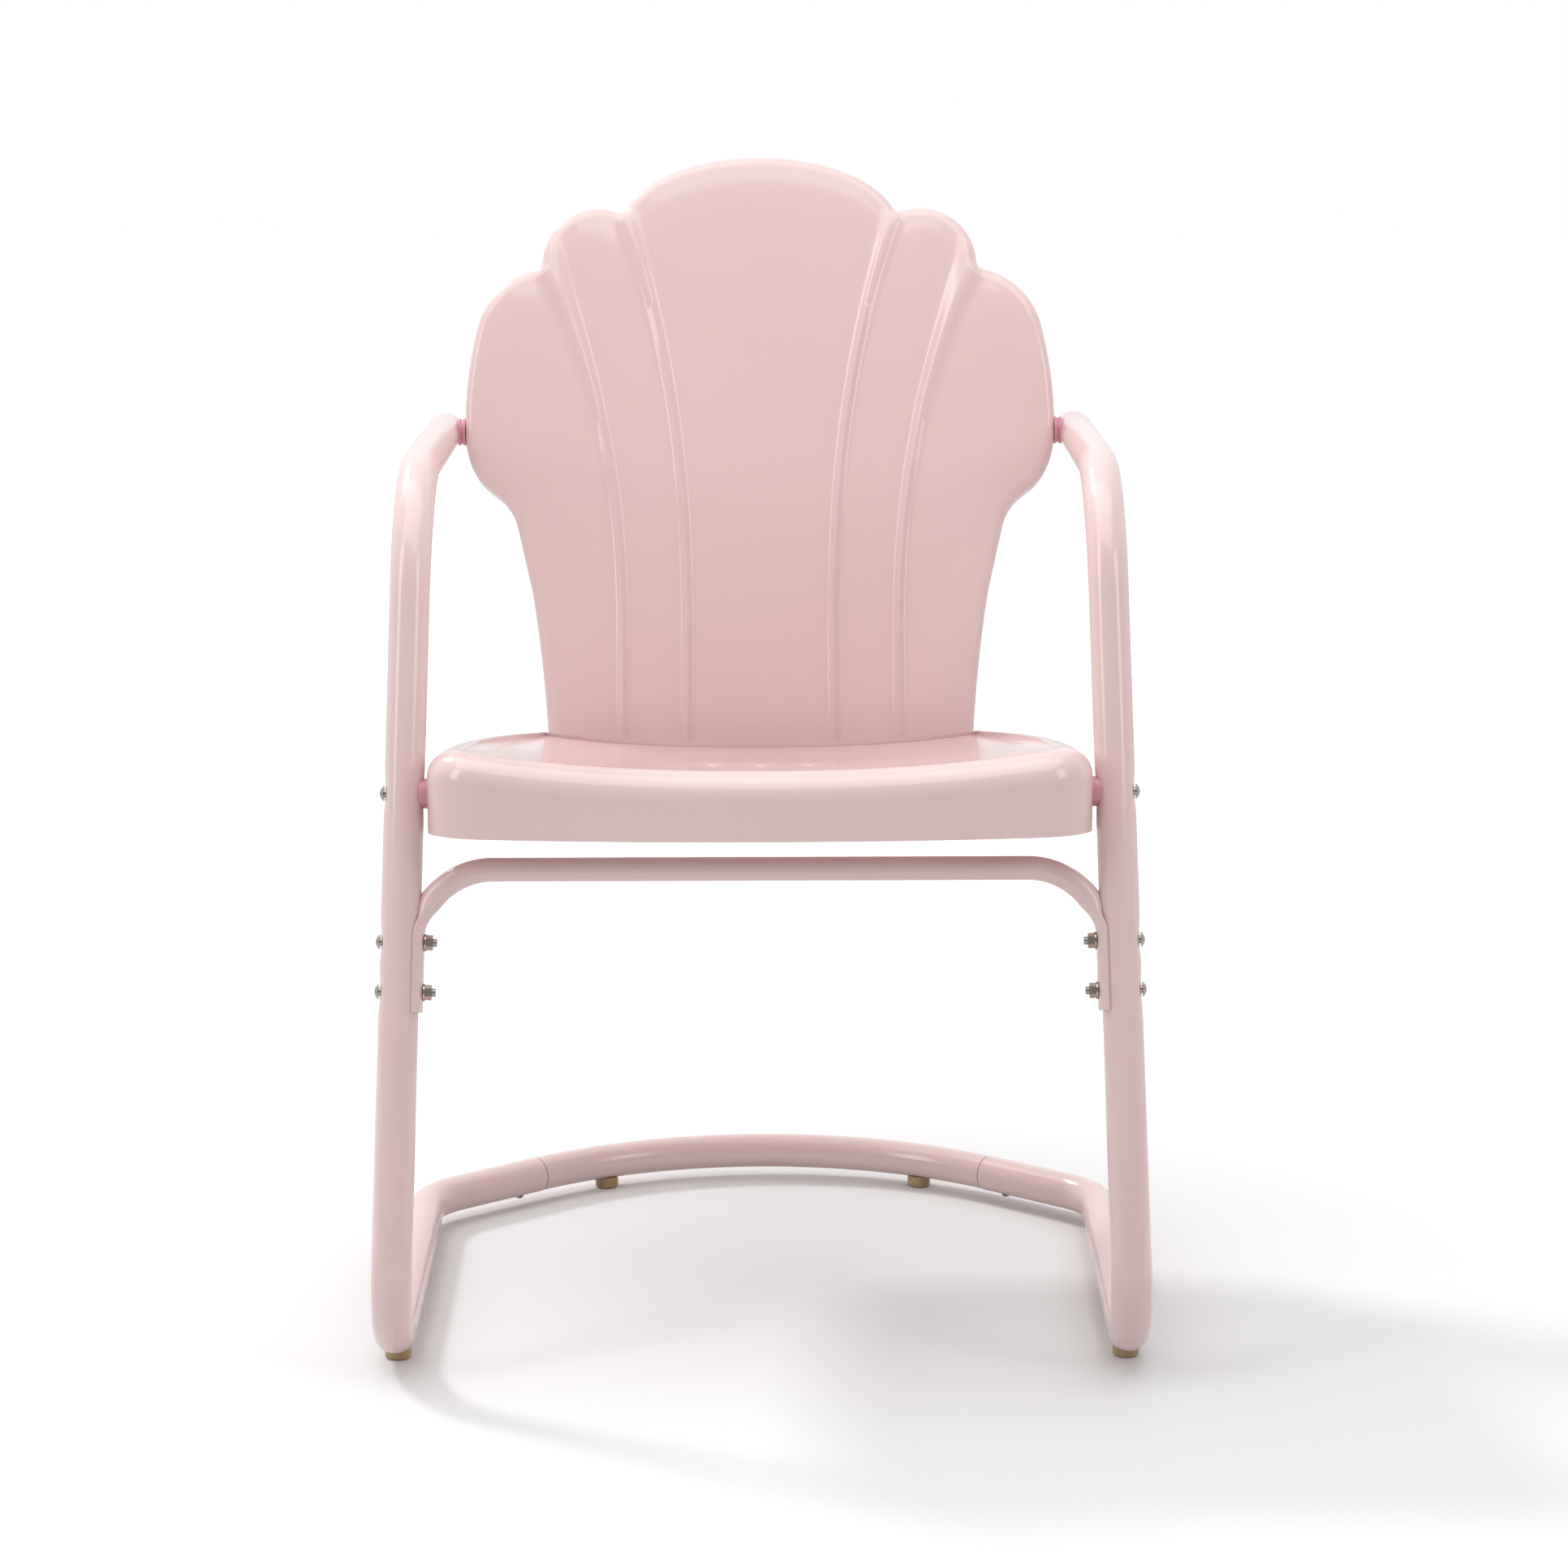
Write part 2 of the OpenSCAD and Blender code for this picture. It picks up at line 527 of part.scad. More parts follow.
// Seat pan, drawn in plan
seat_rear = back_root - back_gap;
seat_side = [seat_half, seat_front + seat_corner_r + 34];
seat_tail = [seat_half - seat_corner_r, seat_rear - 35];
seat_heel = [0.73 * seat_half, seat_rear - wrap(0.73 * seat_half)];
seat_nose = [seat_half - seat_corner_r, seat_front];
seat_cheek = [seat_half, seat_front + seat_corner_r];
corner_bulge = seat_corner_r * (1 - sqrt(0.5));
side_bulge = norm(seat_tail - seat_side) / 2 * tan(atan(seat_corner_r / (seat_tail[1] - seat_side[1])) / 2);
heel_bulge = 0.22 * norm(seat_tail - seat_heel);
flip = [[-1, 0], [0, 1]];
function plus_ends(list, last) = concat(list, [last]);
front_right = plus_ends([for (i = [0:8]) lerp([0, seat_front], seat_nose, i / 8)],
    bulged(seat_nose, seat_cheek, corner_bulge, 0.25));
seat_south_right = concat(front_right, [bulged(seat_nose, seat_cheek, corner_bulge, 0.5)]);
seat_east = concat([for (t = [0.5, 0.75]) bulged(seat_nose, seat_cheek, corner_bulge, t)],
    stepped(seat_cheek, seat_side, 0, 2), stepped(seat_side, seat_tail, side_bulge, 12),
    [for (t = [0, 0.25, 0.5]) bulged(seat_tail, seat_heel, heel_bulge, t)]);
rear_steps = 8;
seat_north_right = concat([for (i = [0:rear_steps]) let (x = seat_heel[0] * i / rear_steps)
    [x, seat_rear - wrap(x)]], [for (t = [0.75, 0.5]) bulged(seat_tail, seat_heel, heel_bulge, t)]);
function both_sides(right) = concat([for (i = [len(right) - 1:-1:1]) flip * right[i]], right);
seat_south = both_sides(seat_south_right);
seat_north = both_sides(seat_north_right);
seat_west = [for (p = seat_east) flip * p];
seat_loop = loop_of(seat_south, seat_east, seat_north, seat_west);
seat_ins = inward(seat_loop);
function span(loop, from, count) = [for (i = [from:from + count - 1]) loop[i % len(loop)]];
crown_power = 2.3;
function seat_crest(p) = seat_h + seat_crown * pow(abs(p[0]) / seat_half, crown_power)
    - tan(seat_fall) * (p[1] - seat_front - seat_roll);
function seat_depth(p) = lerp(seat_skirt, seat_rear_skirt, (p[1] - seat_front) / (seat_rear - seat_front))
    + 0.8 * seat_crown * pow(abs(p[0]) / seat_half, crown_power);
module seat_shell() {
    cols = len(seat_south);
    rows = len(seat_east);
    rim = [for (i = [0:len(seat_loop) - 1]) seat_loop[i] + seat_ins[i] * seat_roll];
    s = span(rim, 0, cols);
    e = span(rim, cols - 1, rows);
    n = reversed(span(rim, cols + rows - 2, cols));
    w = reversed(span(rim, 2 * cols + rows - 3, rows));
    depth = [for (p = seat_loop) seat_depth(p)];
    function points(t) = concat([for (j = [0:rows - 1], i = [0:cols - 1])
        let (p = coons(s, e, n, w, i, j), a = i / (cols - 1), b = j / (rows - 1),
            dish = seat_dish * pow(16 * a * (1 - a) * b * (1 - b), 0.6))
        [p[0], p[1], seat_crest(p) - dish - t]],
        [for (q = rolled(seat_loop, seat_ins, seat_roll, t, depth))
            [q[0][0], q[0][1], seat_crest(q[0]) - q[1]]]);
    color(pink) placed() difference() {
        shell(cols, rows, points(0), points(sheet_t));
        at_seat_bolt() across(hole_r, -far, far);
        at_shell_bolts() across(hole_r, -far / 20, far / 20);
        for (x = [-drain_gap, 0, drain_gap]) translate([x, (seat_front + seat_rear) / 2 + 30, 0])
            cylinder(d = drain_d, h = 2 * far, $fn = 24);
    }
}

// Back shell, drawn as seen from the front
function above(t) = lerp(wide_h, back_top, t);
function below(t) = lerp(wide_h, back_low, t);
notch_1 = [lobe_half, above(0.788)];
notch_2 = [0.745 * back_half, above(0.588)];
wing_top = [0.966 * back_half, above(0.3515)];
// The middle lobe's edge is part of an ellipse
lobe_turn = 80;
lobe_rise = (back_top - notch_1[1]) / (1 - cos(lobe_turn));
function lobe(turn) = [lobe_half * sin(turn) / sin(lobe_turn), back_top - lobe_rise * (1 - cos(turn))];
back_edge = [[[back_foot_half, back_low], 0, 2], [[back_foot_half + 1, below(0.83)], -1.7, 6],
    [[0.773 * back_half, below(0.44)], 0, 3], [[0.823 * back_half, below(0.266)], -4, 3],
    [[0.907 * back_half, below(0.168)], 2.5, 3], [[0.982 * back_half, below(0.09)], 1.2, 2],
    [[back_half, wide_h], 2.6, 4], [wing_top, 0, 1]];
back_east = plus_ends([for (k = [0:len(back_edge) - 2])
    each stepped(back_edge[k][0], back_edge[k + 1][0], back_edge[k][1], back_edge[k][2])], wing_top);
half_q = [0, 0.2, 0.4, 0.6, 0.75, 0.88, 1, 1.1, 1.35, 1.65, 1.9, 2, 2.1, 2.35, 2.65, 3];
back_q = concat([for (i = [len(half_q) - 1:-1:1]) -half_q[i]], half_q);
function top_at(q) = q <= 1 ? lobe(lobe_turn * q) :
    q <= 2 ? bulged(notch_2, notch_1, 24, 2 - q) : bulged(wing_top, notch_2, 13, 3 - q);
function foot_at(q) = [q <= 1 ? bead_inner * q : q <= 2 ? lerp(bead_inner, bead_outer, q - 1) :
    lerp(bead_outer, back_foot_half, q - 2), back_low];
back_south = both_sides([for (q = half_q) foot_at(q)]);
back_north = both_sides([for (q = half_q) top_at(q)]);
back_west = [for (p = back_east) flip * p];
back_loop = loop_of(back_south, back_east, back_north, back_west);
back_ins = inward(back_loop);
bead_from = 0.25;
function bead_line(foot, top, v) = let (swing = max(0, (v - bead_from) / (1 - bead_from)))
    [lerp(foot[0], top[0], pow(swing, 2.4)), lerp(foot[1], top[1], v)];
module back_shell() {
    cols = len(back_q);
    rows = len(back_east);
    rim = [for (i = [0:len(back_loop) - 1]) back_loop[i] + back_ins[i] * back_roll];
    s = span(rim, 0, cols);
    e = span(rim, cols - 1, rows);
    n = reversed(span(rim, cols + rows - 2, cols));
    mid = len(half_q) - 1;
    marks = [mid, mid + 6, mid + 11, mid + 15];
    function column(k, j) = let (v = (e[j][1] - e[0][1]) / (e[rows - 1][1] - e[0][1]))
        k == 3 ? e[j] : bead_line(s[marks[k]], n[marks[k]], v);
    function inside(q, i, j) = let (k = min(2, floor(q)), u = q - k, v = j / (rows - 1),
        here = n[i] - lerp(n[marks[k]], n[marks[k + 1]], u))
        lerp(column(k, j), column(k + 1, j), u) + here * pow(v, 3) + (s[i] - lerp(s[marks[k]],
            s[marks[k + 1]], u)) * pow(1 - v, 3);
    function grid(i, j) = j == 0 ? s[i] : j == rows - 1 ? n[i] : back_q[i] < 0 ?
        flip * inside(-back_q[i], cols - 1 - i, j) : inside(back_q[i], i, j);
    depth = [for (p = back_loop) back_skirt];
    function on_face(p, in) = [p[0], face_y(p[0], p[1]), p[1]] + back_in * in;
    function points(t) = concat([for (j = [0:rows - 1], i = [0:cols - 1])
        let (p = grid(i, j), q = abs(back_q[i]), on = (q == 1 || q == 2) && j > 0 && j < rows - 1,
            bead = on ? bead_h : 0)
        on_face(p, t - bead)],
        [for (q = rolled(back_loop, back_ins, back_roll, t, depth)) on_face(q[0], q[1])]);
    color(pink) placed() difference() {
        shell(cols, rows, points(0), points(sheet_t));
        for (side = [0, 1]) mirror([side, 0, 0]) at_arm_bolt() across(hole_r, arm_in - 1, back_half + 1);
        at_shell_bolts() across(hole_r, -far / 20, far / 20);
    }
}

left_side_frame();
right_side_frame();
rear_base_tube();
front_brace();
seat_shell();
back_shell();
left_seat_spacer();
right_seat_spacer();
left_back_spacer();
right_back_spacer();
seat_bolts();
seat_washers();
seat_nuts();
arm_bolts();
arm_washers();
arm_inserts();
brace_bolts();
brace_washers();
brace_nuts();
shell_bolts();
shell_washers();
shell_nuts();
left_arm_plug();
right_arm_plug();
base_screws();
front_left_glide();
front_right_glide();
rear_left_glide();
rear_right_glide();
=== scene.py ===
import math

import bmesh
import bpy
import numpy as np
from mathutils import Matrix, Vector


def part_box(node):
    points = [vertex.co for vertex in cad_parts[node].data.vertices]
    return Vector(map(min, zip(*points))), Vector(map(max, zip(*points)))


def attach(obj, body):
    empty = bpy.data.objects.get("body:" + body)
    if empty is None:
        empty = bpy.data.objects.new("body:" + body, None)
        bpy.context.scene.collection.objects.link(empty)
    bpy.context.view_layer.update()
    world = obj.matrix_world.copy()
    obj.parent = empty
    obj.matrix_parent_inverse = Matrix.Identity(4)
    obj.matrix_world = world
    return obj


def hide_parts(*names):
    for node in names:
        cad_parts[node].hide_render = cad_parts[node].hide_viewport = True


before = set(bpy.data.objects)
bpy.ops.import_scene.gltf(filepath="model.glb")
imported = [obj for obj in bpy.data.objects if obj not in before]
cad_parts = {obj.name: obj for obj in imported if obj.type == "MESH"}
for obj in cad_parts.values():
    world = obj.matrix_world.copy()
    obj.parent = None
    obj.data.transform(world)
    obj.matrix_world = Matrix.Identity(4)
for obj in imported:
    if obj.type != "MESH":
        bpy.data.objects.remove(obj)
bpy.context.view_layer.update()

# Sizes in millimetres and degrees, as in the CAD model; y runs back from the foot of the legs
chair = {
    "tubeRadius": 15.0,
    "baseHalf": 274.5,
    "lean": 14.5,
    "tilt": 1.7,
    "toe": 1.6,
    "armRise": 1.4,
    "armHeight": 671.0,
    "armOverrun": 17.0,
    "topBend": 115.0,
    "footBend": 62.0,
    "baseDepth": 567.0,
    "rearArc": 302.0,
    "jointHalf": 198.0,
    "cornerBend": 66.0,
    "glideHeight": 8.0,
    "sheet": 1.5,
    "seatHalf": 247.0,
    "backHalf": 251.5,
    "backRoot": 475.0,
    "backLow": 362.0,
    "backHigh": 902.5,
    "backBendHeight": 415.0,
    "backWrap": 35.0,
    "recline": 15.0,
    "armBoltBack": 19.0,
    "backRoll": 11.0,
    "backBendSoft": 20.0,
    "glideAhead": 3.0,
    "skinInset": 0.02,
}


def sind(a):
    return math.sin(math.radians(a))


def cosd(a):
    return math.cos(math.radians(a))


def tand(a):
    return math.tan(math.radians(a))


# Where the CAD model puts its parts, worked out from the same sizes
tubeR = chair["tubeRadius"]
axisHeight = chair["glideHeight"] + tubeR
lean, tilt, toe, rise = (chair[k] for k in ("lean", "tilt", "toe", "armRise"))
footTan = chair["footBend"] * tand((90 + lean) / 2)
topTurn = 90 - lean - rise
topTan = chair["topBend"] * tand(topTurn / 2)


def sideBase(x, y, z=0.0):
    across = chair["baseHalf"] + x * cosd(toe) + y * sind(toe)
    return np.array([across, y * cosd(toe) - x * sind(toe), axisHeight + z])


def sidePlane(x, y, z):
    return sideBase(x * cosd(tilt) - z * sind(tilt), y, x * sind(tilt) + z * cosd(tilt))


def wrapAt(x):
    return chair["backWrap"] * (x / chair["backHalf"]) ** 2


def faceY(x, z):
    above = z - chair["backBendHeight"]
    rises = (above + np.sqrt(above * above + chair["backBendSoft"] ** 2)) / 2
    return chair["backRoot"] + tand(chair["recline"]) * rises - wrapAt(x)


wideHeight = chair["armHeight"] + chair["armBoltBack"] * sind(chair["recline"])
armBoltY = float(faceY(chair["backHalf"], wideHeight)) + chair["armBoltBack"] * cosd(chair["recline"])
armZ = (chair["armHeight"] - axisHeight) / cosd(tilt)
armY = (armBoltY - armZ * sind(tilt) * sind(toe)) / cosd(toe)
legLength = (armZ - armY * tand(rise)) / (cosd(lean) - sind(lean) * tand(rise))
legDir = np.array([sind(lean), cosd(lean)])
topCentre = legDir * (legLength - topTan) + chair["topBend"] * np.array([cosd(lean), -sind(lean)])
armFrom = topCentre + chair["topBend"] * np.array([-sind(rise), cosd(rise)])
armLength = (armY - armFrom[0]) / cosd(rise)
arcHalf = math.degrees(math.asin(chair["jointHalf"] / chair["rearArc"]))
jointY = chair["baseDepth"] - chair["rearArc"] * (1 - cosd(arcHalf))
cornerTurn = 90 - arcHalf + toe
cornerTan = chair["cornerBend"] * tand(cornerTurn / 2)
cornerSpan = chair["baseHalf"] - chair["jointHalf"]
cornerAt = (jointY - tand(arcHalf) * cornerSpan) / (cosd(toe) + tand(arcHalf) * sind(toe))
sinRecline = sind(chair["recline"])
rollRise = chair["backRoll"] * (1 + sinRecline - math.sqrt(1 + sinRecline ** 2))
backTop = chair["backHigh"] + rollRise - chair["skinInset"]
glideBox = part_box("front_right_glide")
shiftY = sideBase(0, footTan + chair["glideAhead"])[1] / 1000 - (glideBox[0][1] + glideBox[1][1]) / 2


def legPoint(height):
    along = (height - axisHeight) / (cosd(lean) * cosd(tilt))
    return sidePlane(0, along * sind(lean), along * cosd(lean))


def toWorld(points):
    out = np.asarray(points, dtype=float) / 1000
    out[..., 1] -= shiftY
    return out


def unit(v):
    v = np.asarray(v, dtype=float)
    return v / np.linalg.norm(v, axis=-1, keepdims=True)


# Small builders for meshes and node trees
def meshObject(name, points, faces, attributes=None, edges=()):
    mesh = bpy.data.meshes.new(name)
    mesh.from_pydata([tuple(p) for p in points], list(edges), faces)
    for key, values in (attributes or {}).items():
        values = np.asarray(values, dtype=np.float32)
        kind = "FLOAT_VECTOR" if values.ndim == 2 else "FLOAT"
        layer = mesh.attributes.new(key, kind, "POINT")
        layer.data.foreach_set("vector" if values.ndim == 2 else "value", values.ravel())
    mesh.update()
    made = bpy.data.objects.new(name, mesh)
    bpy.context.collection.objects.link(made)
    return made


def closeNormals(made):
    work = bmesh.new()
    work.from_mesh(made.data)
    bmesh.ops.remove_doubles(work, verts=work.verts, dist=1e-6)
    bmesh.ops.delete(work, geom=[v for v in work.verts if not v.link_faces], context="VERTS")
    bmesh.ops.recalc_face_normals(work, faces=work.faces)
    if work.calc_volume(signed=True) < 0:
        bmesh.ops.reverse_faces(work, faces=work.faces)
    for face in work.faces:
        face.smooth = True
    work.to_mesh(made.data)
    work.free()


def sharpen(made, degrees):
    made.data.set_sharp_from_angle(angle=math.radians(degrees))


socketKinds = {float: "NodeSocketFloat", int: "NodeSocketInt", bpy.types.Material: "NodeSocketMaterial"}


# Each value whose name has a capital becomes an input of the tree
def newTree(name, look, kind="GeometryNodeTree"):
    tree = bpy.data.node_groups.new(name, kind)
    if kind == "GeometryNodeTree":
        for way in ("OUTPUT", "INPUT"):
            tree.interface.new_socket("Geometry", in_out=way, socket_type="NodeSocketGeometry")
    for label, value in look.items():
        if label[0].isupper():
            made = tree.interface.new_socket(label, in_out="INPUT", socket_type=socketKinds[type(value)])
            made.default_value = value
    return tree, tree.nodes.new("NodeGroupInput").outputs, tree.nodes.new("NodeGroupOutput").inputs


def feed(tree, node, values):
    pairs = values.items() if isinstance(values, dict) else enumerate(values)
    for key, value in pairs:
        if isinstance(value, bpy.types.NodeSocket):
            tree.links.new(value, node.inputs[key])
        elif value is not None:
            node.inputs[key].default_value = value


def add(tree, kind, values=(), **settings):
    made = tree.nodes.new(kind)
    for key, value in settings.items():
        setattr(made, key, value)
    feed(tree, made, values)
    return made


def calc(tree, operation, *values):
    return add(tree, "ShaderNodeMath", values, operation=operation).outputs[0]


def product(tree, first, *others):
    for other in others:
        first = calc(tree, "MULTIPLY", first, other)
    return first


def vector(tree, operation, a, b):
    sockets = {0: a, 3: b} if operation == "SCALE" else {0: a, 1: b}
    made = add(tree, "ShaderNodeVectorMath", sockets, operation=operation)
    return made.outputs["Value" if operation in ("DOT_PRODUCT", "DISTANCE") else "Vector"]


def attribute(tree, name, dataType="FLOAT"):
    made = add(tree, "GeometryNodeInputNamedAttribute", {"Name": name}, data_type=dataType)
    return made.outputs["Attribute"]


def between(tree, value, low, high, least=0.0, most=1.0):
    ends = {"Value": value, "From Min": low, "From Max": high, "To Min": least, "To Max": most}
    return add(tree, "ShaderNodeMapRange", ends, interpolation_type="SMOOTHSTEP").outputs[0]


def swept(tree, path, points, radius):
    ring = add(tree, "GeometryNodeCurvePrimitiveCircle", {"Resolution": points, "Radius": radius}).outputs[0]
    parts = {"Curve": path, "Profile Curve": ring, "Fill Caps": True}
    return add(tree, "GeometryNodeCurveToMesh", parts).outputs[0]


def moved(tree, geometry, offset):
    return add(tree, "GeometryNodeSetPosition", {"Geometry": geometry, "Offset": offset}).outputs[0]


def finishTree(tree, geometry, material, output):
    real = add(tree, "GeometryNodeRealizeInstances", {0: geometry}).outputs[0]
    dressed = add(tree, "GeometryNodeSetMaterial", {"Geometry": real, "Material": material}).outputs[0]
    tree.links.new(dressed, output[0])


def grow(made, tree, values):
    live = made.modifiers.new("grow", "NODES")
    live.node_group = tree
    for item in tree.interface.items_tree:
        if item.item_type == "SOCKET" and item.in_out == "INPUT" and item.name in values:
            live[item.identifier] = values[item.name]
    graph = bpy.context.evaluated_depsgraph_get()
    graph.update()
    plain = bpy.data.meshes.new_from_object(made.evaluated_get(graph))
    plain.name = made.name
    made.modifiers.remove(live)
    made.data = plain
    closeNormals(made)


# Materials
def newMaterial(name):
    made = bpy.data.materials.new(name)
    made.use_nodes = True
    tree = made.node_tree
    tree.nodes.clear()
    shader = tree.nodes.new("ShaderNodeBsdfPrincipled")
    out = tree.nodes.new("ShaderNodeOutputMaterial")
    tree.links.new(shader.outputs[0], out.inputs[0])
    return made, tree, shader


def newEffect(name, look):
    tree, taken, given = newTree(name, look, "ShaderNodeTree")
    tree.interface.new_socket("Normal", in_out="OUTPUT", socket_type="NodeSocketVector")
    tree.interface.new_socket("Tone", in_out="OUTPUT", socket_type="NodeSocketFloat")
    return tree, taken, given, add(tree, "ShaderNodeTexCoord").outputs["Object"]


def finishEffect(tree, given, depth, distance, height, tone):
    bump = add(tree, "ShaderNodeBump", {"Strength": depth, "Distance": distance, "Height": height})
    tree.links.new(bump.outputs[0], given["Normal"])
    tree.links.new(tone, given["Tone"])


peel, peelIn, peelOut, peelPlace = newEffect("orangePeel", {"Size": 420.0, "Depth": 0.05, "Drift": 6.0})
peelFine = add(peel, "ShaderNodeTexNoise", {
    "Vector": peelPlace, "Scale": peelIn["Size"], "Detail": 2.0, "Roughness": 0.45}).outputs["Fac"]
peelSlow = add(peel, "ShaderNodeTexNoise", {
    "Vector": peelPlace, "Scale": peelIn["Drift"], "Detail": 2.0}).outputs["Fac"]
finishEffect(peel, peelOut, peelIn["Depth"], 0.0004, peelFine, peelSlow)

turned, turnedIn, turnedOut, turnedPlace = newEffect("workedMetal", {"Scale": 900.0, "Depth": 0.12})
turnedLong = add(turned, "ShaderNodeMapping", {"Vector": turnedPlace, "Scale": (1.0, 0.25, 0.25)}).outputs[0]
turnedNoise = add(turned, "ShaderNodeTexNoise", {
    "Vector": turnedLong, "Scale": turnedIn["Scale"], "Detail": 4.0}).outputs["Fac"]
finishEffect(turned, turnedOut, turnedIn["Depth"], 0.0003, turnedNoise, turnedNoise)


def mixColour(tree, factor, first, second):
    return add(tree, "ShaderNodeMix", {0: factor, 6: first, 7: second}, data_type="RGBA").outputs[2]


# Each surface's grain runs between two tones, and in coat and steel between two roughnesses
# Names with a capital are the shader's inputs, with lengths in metres
plastic = {"group": peel, "grain": {"Size": 900.0, "Depth": 0.08, "Drift": 60.0}, "Subsurface Scale": 0.004}
steel = {"group": turned, "grain": {"Scale": 900.0, "Depth": 0.12}, "Metallic": 1.0}
surfaceLooks = {
    "powderCoat": {
        "group": peel, "grain": {"Size": 380.0, "Depth": 0.05, "Drift": 5.0},
        "pale": (0.800, 0.600, 0.585, 1.0), "deep": (0.765, 0.555, 0.540, 1.0), "rough": (0.20, 0.235),
        "Coat Weight": 0.55, "Coat Roughness": 0.07},
    "rosePlastic": {
        **plastic, "pale": (0.72, 0.36, 0.42, 1.0), "deep": (0.62, 0.27, 0.33, 1.0),
        "Roughness": 0.3, "Subsurface Weight": 0.25},
    "plugPlastic": {
        **plastic, "pale": (0.78, 0.58, 0.56, 1.0), "deep": (0.72, 0.52, 0.50, 1.0),
        "Roughness": 0.45, "Subsurface Weight": 0.1},
    "glidePlastic": {
        **plastic, "pale": (0.50, 0.36, 0.20, 1.0), "deep": (0.38, 0.26, 0.13, 1.0),
        "Roughness": 0.38, "Subsurface Weight": 0.2},
    "brightSteel": {
        **steel, "pale": (0.52, 0.49, 0.46, 1.0), "deep": (0.34, 0.32, 0.30, 1.0), "rough": (0.16, 0.28)},
    "nutSteel": {
        **steel, "pale": (0.66, 0.60, 0.52, 1.0), "deep": (0.40, 0.35, 0.29, 1.0), "rough": (0.20, 0.34)},
}


def surface(name):
    look = surfaceLooks[name]
    made, tree, shader = newMaterial(name)
    grain = add(tree, "ShaderNodeGroup", look["grain"], node_tree=look["group"]).outputs
    values = {key: value for key, value in look.items() if key[0].isupper()}
    values["Base Color"] = mixColour(tree, grain["Tone"], look["deep"], look["pale"])
    values["Normal"] = grain["Normal"]
    if "rough" in look:
        ends = {"Value": grain["Tone"], "To Min": look["rough"][0], "To Max": look["rough"][1]}
        values["Roughness"] = add(tree, "ShaderNodeMapRange", ends).outputs[0]
    feed(tree, shader, values)
    return made


coat, spacerPlastic, plugPlastic, glidePlastic, boltSteel, nutSteel = map(surface, surfaceLooks)
print("materials made")

# Bent tubes: a path swept by a ring that flattens in bends, at a pressed end and round bolts
# Names with a capital are the tree's inputs, with lengths in metres; the others are lengths in millimetres,
# shares and counts
tubeLook = {
    "Radius": tubeR / 1000,
    "Ring Points": 64,
    "Ovality": 0.018,
    "Flat Depth": 0.003,
    "Dent Depth": 0.0012,
    "Dent From": 0.72,
    "Material": coat,
    "squashPower": 0.6,
    "flat": 58.0,
    "flatEase": 9.0,
    "dentReach": 11.0,
    "lipShare": 0.055,
    "lipSteps": (0.15, 0.4, 0.8, 1.3, 1.9, 2.6),
    "baseStep": 4.0,
    "cornerSteps": 24,
    "railStep": 5.0,
    "footSteps": 36,
    "legStep": 3.5,
    "topSteps": 42,
    "armStep": 3.0,
}
lipSteps = tubeLook["lipSteps"]
up = np.array([0.0, 0.0, 1.0])

bentTube, tubeIn, tubeOut = newTree("bentTube", tubeLook)
tubeCurve = add(bentTube, "GeometryNodeMeshToCurve", {0: tubeIn["Geometry"]}).outputs[0]
tubeSkin = swept(bentTube, tubeCurve, tubeIn["Ring Points"], tubeIn["Radius"])
tubeHere = add(bentTube, "GeometryNodeInputPosition").outputs[0]
tubeSpoke = vector(bentTube, "SUBTRACT", tubeHere, attribute(bentTube, "centre", "FLOAT_VECTOR"))
tubeBendAxis = attribute(bentTube, "bendAxis", "FLOAT_VECTOR")
tubeSquash = calc(bentTube, "MULTIPLY", attribute(bentTube, "squash"), tubeIn["Ovality"])
tubeInBend = vector(bentTube, "DOT_PRODUCT", tubeSpoke, tubeBendAxis)
tubeWiden = vector(bentTube, "SCALE", tubeSpoke, tubeSquash)
tubeNarrow = vector(bentTube, "SCALE", tubeBendAxis, product(bentTube, tubeInBend, tubeSquash, -2.0))
tubeInwards = attribute(bentTube, "inwards", "FLOAT_VECTOR")
tubeReach = vector(bentTube, "DOT_PRODUCT", tubeSpoke, tubeInwards)
tubeLimit = calc(bentTube, "SUBTRACT", tubeIn["Radius"], tubeIn["Flat Depth"])
tubeExcess = calc(bentTube, "MAXIMUM", calc(bentTube, "SUBTRACT", tubeReach, tubeLimit), 0.0)
tubeFlatDepth = product(bentTube, tubeExcess, attribute(bentTube, "flat"), -1.0)
tubeFlat = vector(bentTube, "SCALE", tubeInwards, tubeFlatDepth)
tubeShare = calc(bentTube, "DIVIDE", calc(bentTube, "ABSOLUTE", tubeReach), tubeIn["Radius"])
tubeNear = between(bentTube, tubeShare, tubeIn["Dent From"], 1.0)
tubeSign = calc(bentTube, "SIGN", tubeReach)
tubeDentDepth = product(bentTube, tubeNear, tubeSign, attribute(bentTube, "dent"), tubeIn["Dent Depth"], -1.0)
tubeDent = vector(bentTube, "SCALE", tubeInwards, tubeDentDepth)
tubeOval = vector(bentTube, "ADD", tubeWiden, tubeNarrow)
tubePress = vector(bentTube, "ADD", tubeFlat, tubeDent)
tubeMove = vector(bentTube, "ADD", tubeOval, tubePress)
finishTree(bentTube, moved(bentTube, tubeSkin, tubeMove), tubeIn["Material"], tubeOut)


def straightRun(a, b, step):
    count = max(2, int(np.linalg.norm(b - a) / step))
    return [{"at": a + (b - a) * i / count, "squash": 0.0, "bendAxis": up} for i in range(count)]


